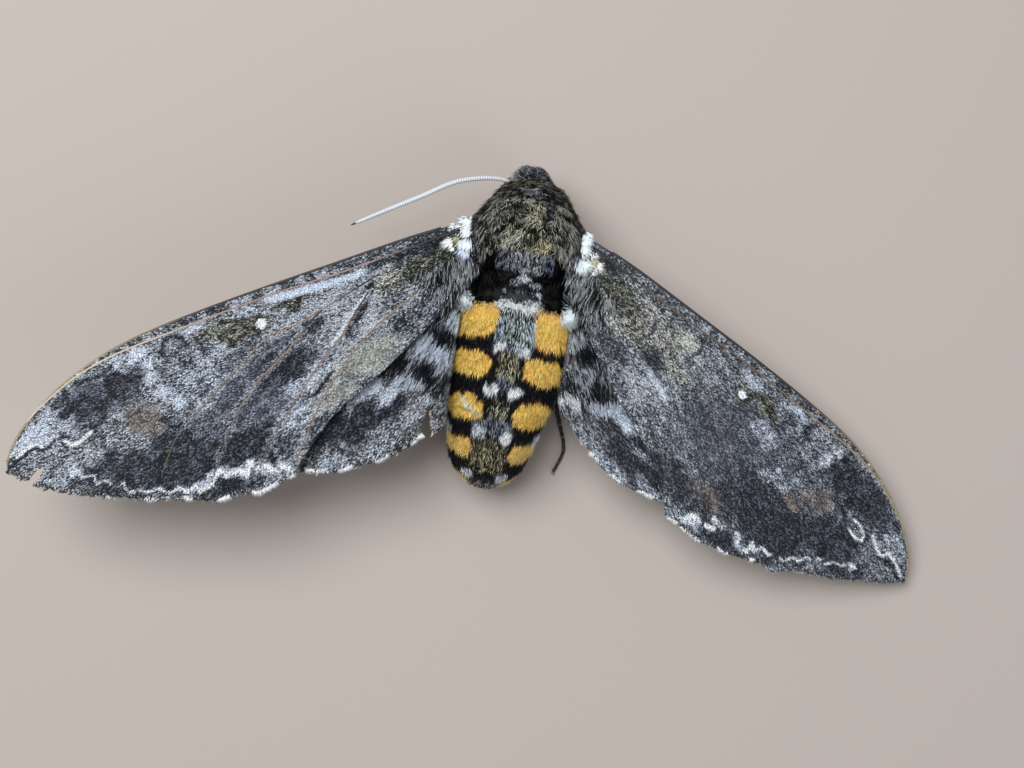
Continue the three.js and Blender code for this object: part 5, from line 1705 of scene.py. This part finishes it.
def head_roots(count, seed, depth):
    """Even places over the head, clear of the eyes, with their normals and their places on its unwrap."""
    places = even_points(count, seed)
    turn, tilt = 2 * math.pi * places[:, 0], np.arcsin(np.clip(2 * places[:, 1] - 1, -0.98, 0.98))
    root = head_place(turn, tilt, depth)
    keep = root[:, 1] > 8.4
    for sign in (-1, 1):
        keep &= np.linalg.norm(root - beside_head(sign, EYE_PLACE), axis=1) > EYE_RADIUS + 0.02
    root = root[keep]
    return root, unit((root - HEAD_CENTRE) / HEAD_SIZE**2), places[keep]


# Hair on the head: how many hairs a whole head would have, their seed and the depth of their roots.
SHORT_HAIRS = (13000, 31, 0.42)
LONG_HAIRS = (24000, 32, 0.36)
FACE_FRINGE = (15000, 33, 0.3)


def tube_roots(rings, t, normal, ahead, rng, scatter):
    """Roots of hair over a tube, between its rings, with their normals, directions and shares."""
    sides = rings.shape[1]
    root = (rings[:-1] + rings[1:]).reshape(-1, 3) / 2 + rng.normal(0, scatter, ((len(t) - 1) * sides, 3))
    return root, normal[:-1].reshape(-1, 3), np.repeat(ahead[:-1], sides, 0), np.repeat(t[:-1], sides)


class MOTH_OT_head_coat(bpy.types.Operator):
    """Short fur on head and palps, a brow over each eye and a crest over the face"""

    bl_idname = "moth.head_coat"
    bl_label = "Head coat"

    def execute(self, context):
        rng = np.random.default_rng(31)
        crown = np.array([HEAD_X, 8.4, 9.4])
        root, up, uv = head_roots(*SHORT_HAIRS)
        short = face_fur(root, up, uv, root - crown, 0.55, 0.07, 0.42, rng)
        root, up, uv = head_roots(*LONG_HAIRS)
        x, y, z = (root - HEAD_CENTRE).T
        brow = smooth(np.abs(x), 0.7, 1.3) * smooth(z, 0.9, 1.5) * smooth(y, -1.0, -0.4)
        crest = smooth(y, 0.5, 1.0) * smooth(z, 0.1, 0.7)
        crown_hair = smooth(z, 1.6, 2.2)
        keep = rng.random(len(root)) < np.maximum.reduce([0.5 * brow, 0.9 * crest, 0.22 * crown_hair])
        root, up, uv, brow, crest = root[keep], up[keep], uv[keep], brow[keep], crest[keep]
        outward = np.sign(root[:, :1] - HEAD_X) * [1, 0, 0] + [0, 0.35, -0.25]
        ahead = np.tile([0.0, 1.0, 0.25], (len(root), 1)) + 0.3 * (root - crown) * [1, 0, 0]
        lie = mix(ahead, outward, np.clip(brow - 0.6 * crest, 0, 1))
        long = face_fur(root, up, uv, lie, 0.85 + 0.3 * brow + 0.2 * crest, 0.07, 0.3 + 0.3 * brow, rng, 0.6)
        root, up, uv = head_roots(*FACE_FRINGE)
        x, y, z = (root - HEAD_CENTRE).T
        fringe_share = smooth(y, 0.2, 0.7) * window(z, -0.4, 1.9, 0.5) * smooth(np.hypot(x, y), 0.6, 1.1)
        keep = rng.random(len(root)) < fringe_share
        root, up, uv = root[keep], up[keep], uv[keep]
        flow = (root - HEAD_CENTRE) * [1.2, 0.8, 0] + [0, 0.2, 0.9]
        fringe = face_fur(root, up, uv, flow, 0.85, 0.065, 0.85, rng, 0.9)
        longer = fur_batch([long, fringe], LONG_BLADE)
        side_by_side("coat_head", fur_batch([short]), longer, "head_coat", within_dome)
        batches = []
        for sign in (-1, 1):
            tube_parts = palp_tube(sign, PALP_SKIN_DEPTH + 0.01, PALP_STEPS)
            root, up, forward, share = tube_roots(*tube_parts, rng, 0.02)
            high = smooth(root[:, 2], 5.4, 7.0)
            inward = np.array([-0.9 * sign, 0.3, -0.3]) * high[:, None]
            uv = np.stack([np.tile(np.arange(PALP_SIDES), PALP_STEPS) / PALP_SIDES, share], -1)
            batches.append(face_fur(root, up, uv, forward + inward, 0.55 + 0.3 * high, 0.075, 0.46, rng,
                                    0.35 + 0.25 * high[:, None]))
        points, faces, colours, uv = fur_batch(batches)
        make_piece("coat_palps", within_dome(points), faces, colours, fur_finish(), "head_coat", uv)
        return {"FINISHED"}


class MOTH_OT_leg_coat(bpy.types.Operator):
    """Flat scales on the legs, longer and more raised over each thigh"""

    bl_idname = "moth.leg_coat"
    bl_label = "Leg coat"

    def execute(self, context):
        rng = np.random.default_rng(41)
        parts = []
        around, along = np.meshgrid(np.arange(LEG_COAT_SIDES), np.arange(LEG_COAT_STEPS))
        for row, (pair, side) in enumerate(LEG_ORDER):
            tube_parts = tube(leg_path(pair, side), leg_skin_radius, LEG_COAT_SIDES, LEG_COAT_STEPS)
            root, up, forward, share = tube_roots(*tube_parts, rng, 0.015)
            count = len(root)
            lie = along_surface(unit(forward + 0.2 * rng.normal(0, 1, (count, 3))), up)
            thigh = smooth(share, 0.66, 0.5)
            cuffs = window((share - 0.7) / 0.3 * 5 % 1, 0.82, 1.0, 0.05) * (share > 0.7)
            pale = mix(tone(140, 138, 136), tone(196, 194, 190), cuffs)
            colour = pick_colours(tone(34, 33, 34), pale, 0.3 + 0.25 * thigh + 0.4 * cuffs, rng)
            length = np.interp(share, [0, 0.5, 0.66, 1], [0.75, 0.6, 0.36, 0.24])
            length = length * (0.8 + 0.4 * rng.random(count))
            width = np.interp(share, [0, 0.6, 0.7, 1], [0.15, 0.13, 0.08, 0.06])
            uv = np.stack([((around.ravel() + 0.5) / LEG_COAT_SIDES + row) / len(LEG_ORDER),
                           (along.ravel() + 0.5) / LEG_COAT_STEPS], -1)
            # each scale darkened at its root as painted shade
            parts.append(blades(root - 0.02 * up, lie, up, length, width, 0.16 + 0.1 * thigh, 0.1,
                                0.3 * (rng.random(count) - 0.5), colour * 0.6, colour, uv, SHORT_BLADE))
        points, faces, colours, uv = join(parts)
        points[:, 2] = np.maximum(points[:, 2], GROUND_GAP)
        make_piece("coat_legs", points, faces, colours, fur_finish(), "leg", uv)
        return {"FINISHED"}


# ------------------------------------------------------------------ wings
TEARS = {
    ("fore", "left"): [
        [(50.5, 2), (48.6, 1.9), (47, 1.3), (46.3, 1.35), (46.5, 1.9), (48.2, 2.65), (50.5, 2.8)],
        [(47.2, 4.6), (45.8, 4.7), (44.7, 4), (45, 4.3), (45.5, 5.4), (47.2, 5.2)],
    ],
    ("fore", "right"): [[(38.15, 9.9), (38.3, 8.8), (39.6, 8.3), (40, 9.9)]],
    ("hind", "left"): [HIND_NOTCH],
    ("hind", "right"): [[(8.4, 12), (9.6, 10.5), (9.9, 10.7), (9.2, 12)]],
}
MEMBRANE_GRID = {"fore": (150, 84), "hind": (100, 74)}


def wing_cut(s, t, kind, side):
    """Whether each place lies in a tear or notch."""
    gone = np.zeros(np.shape(s), bool)
    for tear in TEARS[(kind, side)]:
        gone |= inside(s, t, tear)
    return gone


def vein_relief(s, t, kind):
    """The wing rises to each vein and sags between them."""
    veins = FORE_VEINS if kind == "fore" else HIND_VEINS
    nearest = np.min([line_distance(s, t, vein) for vein in veins], axis=0)
    return 0.06 * smooth(nearest, 0.5, 0) + 0.09 * np.cos(np.clip(nearest, 0, 2.2) * 1.4)


class MOTH_OT_membranes(bpy.types.Operator):
    """The four bare wings with their raised veins"""

    bl_idname = "moth.membranes"
    bl_label = "Wing membranes"

    def execute(self, context):
        wings = context.scene.moth_wings
        thick = in_mm(wings.membrane)
        for kind, side in WINGS:
            rows, columns = MEMBRANE_GRID[kind]
            u, v = np.meshgrid(np.linspace(0, 1, rows), np.linspace(0, 1, columns), indexing="ij")
            flat = wing_patch(kind, side, u, v)
            s, t = flat[..., 0], flat[..., 1]
            relief = vein_relief(s, t, kind)
            layers = [wing_surface(kind, side, s, t, relief + offset).reshape(-1, 3)
                      for offset in (thick / 2, -thick / 2)]
            quads = grid_faces(rows, columns)
            s, t = s.ravel(), t.ravel()
            clear = beside_trunk(layers[0][quads].mean(1), -0.15)
            quads = quads[clear & ~wing_cut(s[quads].mean(1), t[quads].mean(1), kind, side)]
            directed = np.concatenate([quads[:, [i, (i + 1) % 4]] for i in range(4)])
            undirected = np.sort(directed, axis=1)
            _, first, counts = np.unique(undirected, axis=0, return_index=True, return_counts=True)
            rim = directed[first[counts == 1]]
            total = rows * columns
            walls = np.stack([rim[:, 1], rim[:, 0], rim[:, 0] + total, rim[:, 1] + total], -1)
            faces = np.concatenate([quads, quads[:, ::-1] + total, walls])
            if side == "right":
                faces = faces[:, ::-1]
            dark, pale, share = upper_marks(kind, side, s, t)
            upper = mix(dark, pale, share * 0.8) * 0.7
            lower = mix(*under_marks(s, t)[:2], np.full(total, 0.4)) * 0.8
            make_piece(f"{kind}wing_{side}_membrane", np.concatenate(layers), faces,
                       np.concatenate([upper, lower]), dusted_finish("membrane", 0.5), f"{kind}wing",
                       replaces=[f"{kind}wing_{side}"])
        return {"FINISHED"}


VEIN_STEPS, VEIN_SIDES = 70, 8


class MOTH_OT_veins(bpy.types.Operator):
    """Slim veins over the wings and the stiff front edge"""

    bl_idname = "moth.veins"
    bl_label = "Wing veins"

    def execute(self, context):
        parts = []
        for side in SIDES:
            looks = FORE_VEIN_LOOKS[side]
            rows = [("fore", vein, *look, 0.09) for vein, look in zip(FORE_VEINS, looks)]
            rows += [("hind", vein, *HIND_VEIN_LOOKS[side], 0.08) for vein in HIND_VEINS]
            edge = flat_spline(FORE_COSTA, np.linspace(0.06, 0.985, 40)) + [0, 0.03]
            rows.append(("fore", edge, 0.17, 0.13, DUSK_VEIN, EDGE_VEIN, 0.02))
            for kind, vein, first, last, root_tone, tip_tone, lift in rows:
                flat = flat_spline(vein, np.linspace(0, 1, 60))
                relief = vein_relief(flat[:, 0], flat[:, 1], kind)
                line = wing_surface(kind, side, flat[:, 0], flat[:, 1], relief + lift)
                rings, t = tube(line[::3], lambda q: first + (last - first) * q, VEIN_SIDES, VEIN_STEPS)[:2]
                points, faces = tube_shell(rings)
                run = np.concatenate([t[:1], t, t[-1:]]).repeat(VEIN_SIDES)
                shade = 0.88 + 0.24 * mottle(points, 0.5, 20)
                first_tone = mix(DUSK_VEIN, root_tone, smooth(run, 0.08, 0.22))
                colours = mix(first_tone, tip_tone, smooth(run, 0.45, 0.8)) * shade[:, None]
                parts.append((points, faces, colours))
        make_piece("wing_veins", *join(parts), finish("vein", 0.45), "forewing")
        return {"FINISHED"}


def wing_roots(kind, side, count, seed):
    """Even places over a wing's plane, clear of tears, with their places on the bake map."""
    u, v = np.linspace(0, 1, 160), np.linspace(0, 1, 120)
    costa = wing_patch(kind, side, u, 0 * u)
    termen = wing_patch(kind, side, np.ones_like(v), v)
    dorsum = wing_patch(kind, side, u, np.ones_like(u))
    outline = np.concatenate([costa, termen[1:], dorsum[::-1][1:]])
    low, high = outline.min(0), outline.max(0)
    x, y = outline.T
    area = 0.5 * abs(np.dot(x, np.roll(y, -1)) - np.dot(y, np.roll(x, -1)))
    places = even_points(int(count * (high - low).prod() / area), seed)
    flat = low + places * (high - low)
    keep = inside(flat[:, 0], flat[:, 1], outline) & ~wing_cut(flat[:, 0], flat[:, 1], kind, side)
    keep &= beside_trunk(wing_surface(kind, side, flat[:, 0], flat[:, 1]), 0.1)
    return flat[keep], places[keep] * 0.98 + 0.01


SCALE_COUNTS = {("fore", 1): 40000, ("fore", -1): 9000, ("hind", 1): 13000, ("hind", -1): 5000}


class MOTH_OT_wing_scales(bpy.types.Operator):
    """Overlapping scales on both sides of the four wings"""

    bl_idname = "moth.wing_scales"
    bl_label = "Wing scales"

    def execute(self, context):
        wings = context.scene.moth_wings
        length, width = in_mm(wings.scale_length), in_mm(wings.scale_width)
        half = in_mm(wings.membrane) / 2
        seed = 50
        for (kind, face), count in SCALE_COUNTS.items():
            for side in SIDES:
                seed += 1
                rng = np.random.default_rng(seed)
                flat, uv = wing_roots(kind, side, count, seed)
                if kind == "fore":
                    within = (costa_gap(*flat.T) > 0.16) & (costa_gap(flat[:, 0] + length, flat[:, 1]) > 0.05)
                    flat, uv = flat[within], uv[within]
                s, t = flat.T
                place, up, outward, hindward = wing_frame(kind, side, s, t, vein_relief(s, t, kind))
                up = face * up
                place = place + half * up
                marks = upper_marks(kind, side, s, t) if face > 0 else under_marks(s, t)
                lean = 0.6 * (rng.random(len(s)) - 0.5) + 0.25 * t / 13
                lie = unit(outward + lean[:, None] * hindward)
                colour = pick_colours(*marks, rng, 0.3, (0.1, 0.9) if side == "left" else (-0.06, 1.06))
                word, grow = ("upper", 1.0) if face > 0 else ("lower", 1.8)
                long = length * grow * (0.8 + 0.4 * rng.random(len(s)))
                lift = 0.07 + 0.04 * rng.random(len(s))
                points, faces, colours, maps = scales(place, lie, up, long, width * grow, lift, colour, uv)
                make_piece(f"scales_{kind}wing_{side}_{word}", points, faces, colours,
                           dusted_finish("scales", 0.55), f"{kind}wing", maps, smooth_shaded=False)
        return {"FINISHED"}


# White stretches of the fringe, as places along the wing.
WHITE_FRINGE = {
    ("fore", "left"): [(25.4, 26.2), (27.2, 29.8), (31.9, 33.2), (35.2, 35.9), (38.3, 39.3), (42, 42.5)],
    ("fore", "right"): [(25.6, 26.9), (27.4, 29.9), (31.9, 33.1), (35.3, 35.8)],
    ("hind", "left"): [(13, 14.9), (17.4, 18.8), (20.9, 22.2), (23.4, 24.8)],
    ("hind", "right"): [(10, 13.8), (14, 14.6), (16, 17.7), (19.4, 21.2), (23.6, 24.6)],
}
SCALLOPS = {"fore": 8, "hind": 7}
FRINGE_HAIRS = {"fore": 3000, "hind": 2000}


class MOTH_OT_fringe(bpy.types.Operator):
    """The chequered fringe along the outer margins"""

    bl_idname = "moth.fringe"
    bl_label = "Wing fringe"

    def execute(self, context):
        rng = np.random.default_rng(71)
        batches = []
        for kind, side in WINGS:
            count = FRINGE_HAIRS[kind]
            _, termen, _ = wing_outline(kind, side)
            along = np.sort(rng.random(count))
            edge = flat_spline(termen, along)
            ahead = unit(flat_spline(termen, along + 0.02) - flat_spline(termen, along - 0.02))
            outward = np.stack([-ahead[:, 1], ahead[:, 0]], -1)
            outward *= np.sign(np.sum(outward * (edge - [20, 4]), 1))[:, None]
            stretches = WHITE_FRINGE[(kind, side)]
            white = np.max([window(edge[:, 0], low, high, 0.12) for low, high in stretches], axis=0)
            wave = np.cos(2 * math.pi * SCALLOPS[kind] * along)
            root = edge - outward * (0.12 + 0.2 * rng.random(count))[:, None]
            keep = ~wing_cut(*(edge - 0.2 * outward).T, kind, side)
            base = wing_surface(kind, side, *root.T, 0.09 * (rng.random(count) - 0.4))
            tip = wing_surface(kind, side, *(root + outward).T)
            lie = unit(tip - base + 0.2 * rng.normal(0, 1, (count, 3)))
            colour = pick_colours(tone(60, 54, 52), tone(242, 247, 252), 0.16 + 1.1 * white, rng, 0.2)
            length = (0.28 + 0.1 * wave + 0.26 * white) * (0.8 + 0.4 * rng.random(count))
            # inner and outer: each hair darkened at its root as painted shade and lightened at its tip as
            # painted light
            batch = dict(root=base, uv=root, lie=lie, up=np.tile([0, 0, 1.0], (count, 1)), length=length,
                         width=0.1 + 0.05 * white, rise=np.full(count, 0.02), bend=np.full(count, 0.04),
                         curl=0.3 * (rng.random(count) - 0.5), inner=colour * 0.85, outer=colour * 1.1)
            batches.append({key: value[keep] for key, value in batch.items()})
        points, faces, colours, uv = fur_batch(batches)
        make_piece("coat_fringe", points, faces, colours, fur_finish(), "forewing", uv)
        return {"FINISHED"}


ROOT_HAIRS = 30000  # hairs that a whole wing would have; those near its root are kept


class MOTH_OT_wing_fur(bpy.types.Operator):
    """Long soft hair at the roots of the wings and along the inner hindwing"""

    bl_idname = "moth.wing_fur"
    bl_label = "Wing root fur"

    def execute(self, context):
        rng = np.random.default_rng(81)
        batches = []

        def add(root, up, lie, flat, colour, length, width, rise, bend, deep):
            curl = 0.4 * (rng.random(len(root)) - 0.5)
            # inner and outer: each hair darkened at its root by deep as painted shade and lightened at its
            # tip as painted light
            batches.append(dict(root=root, uv=flat, lie=lie, up=up, length=length, width=width, rise=rise,
                                bend=bend, curl=curl, inner=colour * deep, outer=colour * 1.1))

        for side in SIDES:
            flat, _ = wing_roots("fore", side, ROOT_HAIRS, 82)
            s, t = flat.T
            pick = rng.random(len(s)) < smooth(s + 0.3 * t, 7.5, 3.5) * smooth(t, 0.6, 1.8) * 0.8
            flat, s, t = flat[pick], s[pick], t[pick]
            place, up, outward, hindward = wing_frame("fore", side, s, t, vein_relief(s, t, "fore"))
            heading = 0.35 + 0.1 * s + 0.5 * (rng.random(len(s)) - 0.5) + 0.6 * (mottle(flat, 0.9, 6) - 0.5)
            lie = unit(heading[:, None] * outward + hindward)
            share = 0.4 + 0.9 * (mottle(flat, 0.8, 4) - 0.5)
            colour = pick_colours(tone(20, 21, 23), tone(186, 192, 198), share, rng)
            add(place, up, lie, flat, colour, 1.1 + 0.6 * rng.random(len(s)), 0.08,
                0.26 + 0.2 * rng.random(len(s)), 0.16, 0.4)
            flat, _ = wing_roots("hind", side, ROOT_HAIRS, 83)
            s, t = flat.T
            pick = rng.random(len(s)) < smooth(np.hypot(s, t), 14.0, 10.5) * smooth(t, 1.5, 3.5) * 0.52
            flat, s, t = flat[pick], s[pick], t[pick]
            place, up, outward, hindward = wing_frame("hind", side, s, t, vein_relief(s, t, "hind"))
            lie = unit(outward + (0.5 + 0.6 * (rng.random(len(s)) - 0.5))[:, None] * hindward)
            long = 1.1 + 0.7 * rng.random(len(s))
            dark, pale, share = hind_marks(s + 0.6 * long, t + 0.3 * long, side)
            colour = pick_colours(dark, pale, share, rng, 0.2)
            add(place, up, lie, flat, colour, long, 0.085, 0.2 + 0.18 * rng.random(len(s)), 0.14, 0.6)
        points, faces, colours, uv = fur_batch(batches, LONG_BLADE)
        make_piece("coat_wing_roots", points, faces, colours, fur_finish(), "hindwing", uv)
        return {"FINISHED"}


# ------------------------------------------------------------------ stage
CAMERA_AIM = np.array([0.55, -10.1, 0.0])
CAMERA_ROLL = math.atan2(0.139, 0.990)  # the moth lies turned this far clockwise in the camera's view
FIELD_WIDTH = 109.57  # width of floor that the camera sees
SENSOR_WIDTH = 36.0
FLOOR_SIZE = 3  # in metres
WORLD_LIGHT = 0.25
BACKDROP = (0.86, 0.85, 0.84)


class MOTH_OT_stage(bpy.types.Operator):
    """Pale floor, soft light and the camera straight above"""

    bl_idname = "moth.stage"
    bl_label = "Stage"

    def execute(self, context):
        settings = context.scene.moth_stage
        scene = context.scene
        bpy.ops.mesh.primitive_plane_add(size=FLOOR_SIZE, location=(0, 0, 0))
        floor = context.object
        floor.name = "floor"
        floor.data.materials.append(finish("floor", 0.9, colour=settings.floor))
        camera = bpy.data.objects.new("camera", bpy.data.cameras.new("camera"))
        scene.collection.objects.link(camera)
        camera.data.sensor_width = SENSOR_WIDTH
        camera.data.lens = SENSOR_WIDTH * settings.camera_height / (FIELD_WIDTH * MM)
        camera.data.clip_start = 0.005
        aim = Vector((CAMERA_AIM + HOME) * MM)
        above = aim + Vector((0, 0, settings.camera_height))
        camera.matrix_world = Matrix.Translation(above) @ Matrix.Rotation(CAMERA_ROLL, 4, "Z")
        scene.camera = camera
        # name, place, size, power and colour
        lamps = (
            ("lamp_overhead", (-0.12, 0.1, 0.34), 0.26, settings.lamp, (1.0, 0.99, 0.97)),
            ("lamp_side", (0.3, -0.2, 0.26), 0.3, settings.lamp * 0.28, (0.95, 0.97, 1.0)),
        )
        for name, place, size, power, colour in lamps:
            data = bpy.data.lights.new(name, "AREA")
            data.shape, data.size, data.energy, data.color = "DISK", size, power, colour
            lamp = bpy.data.objects.new(name, data)
            lamp.location = place
            lamp.rotation_euler = (Vector((0, 0, 0)) - Vector(place)).to_track_quat("-Z", "Y").to_euler()
            scene.collection.objects.link(lamp)
        world = bpy.data.worlds.new("soft light")
        world.use_nodes = True
        nodes, links = world.node_tree.nodes, world.node_tree.links
        light = nodes["Background"]
        light.inputs["Color"].default_value = (1, 1, 1, 1)
        light.inputs["Strength"].default_value = WORLD_LIGHT
        seen = nodes.new("ShaderNodeBackground")
        seen.inputs["Color"].default_value = (*BACKDROP, 1)
        seen.inputs["Strength"].default_value = 1
        rays = nodes.new("ShaderNodeLightPath")
        either = nodes.new("ShaderNodeMath")
        either.operation = "MAXIMUM"
        links.new(rays.outputs["Is Camera Ray"], either.inputs[0])
        links.new(rays.outputs["Is Glossy Ray"], either.inputs[1])
        both = nodes.new("ShaderNodeMixShader")
        links.new(either.outputs[0], both.inputs[0])
        links.new(light.outputs[0], both.inputs[1])
        links.new(seen.outputs[0], both.inputs[2])
        links.new(both.outputs[0], nodes["World Output"].inputs["Surface"])
        scene.world = world
        scene.view_settings.view_transform = "Standard"
        return {"FINISHED"}


# ------------------------------------------------------------------ panel and running
OPERATORS = [
    MOTH_OT_skin, MOTH_OT_eyes, MOTH_OT_feelers, MOTH_OT_tongue, MOTH_OT_claws, MOTH_OT_body_coat,
    MOTH_OT_head_coat, MOTH_OT_leg_coat, MOTH_OT_membranes, MOTH_OT_veins, MOTH_OT_wing_scales,
    MOTH_OT_fringe, MOTH_OT_wing_fur, MOTH_OT_stage,
]


class MOTH_PT_panel(bpy.types.Panel):
    bl_label = "Hawk moth"
    bl_idname = "MOTH_PT_panel"
    bl_space_type = "VIEW_3D"
    bl_region_type = "UI"
    bl_category = "Hawk moth"

    def draw(self, context):
        for operator in OPERATORS:
            self.layout.operator(operator.bl_idname)
        for name, group in SETTINGS.items():
            box = self.layout.box()
            for key in group.__annotations__:
                box.prop(getattr(context.scene, name), key)


def register():
    for name, group in SETTINGS.items():
        bpy.utils.register_class(group)
        setattr(bpy.types.Scene, name, bpy.props.PointerProperty(type=group))
    for cls in (*OPERATORS, MOTH_PT_panel):
        bpy.utils.register_class(cls)


def unregister():
    for cls in (MOTH_PT_panel, *reversed(OPERATORS)):
        bpy.utils.unregister_class(cls)
    for name, group in SETTINGS.items():
        delattr(bpy.types.Scene, name)
        bpy.utils.unregister_class(group)


def main():
    register()
    for operator in OPERATORS:
        area, name = operator.bl_idname.split(".")
        getattr(getattr(bpy.ops, area), name)()


if __name__ == "__main__":
    main()
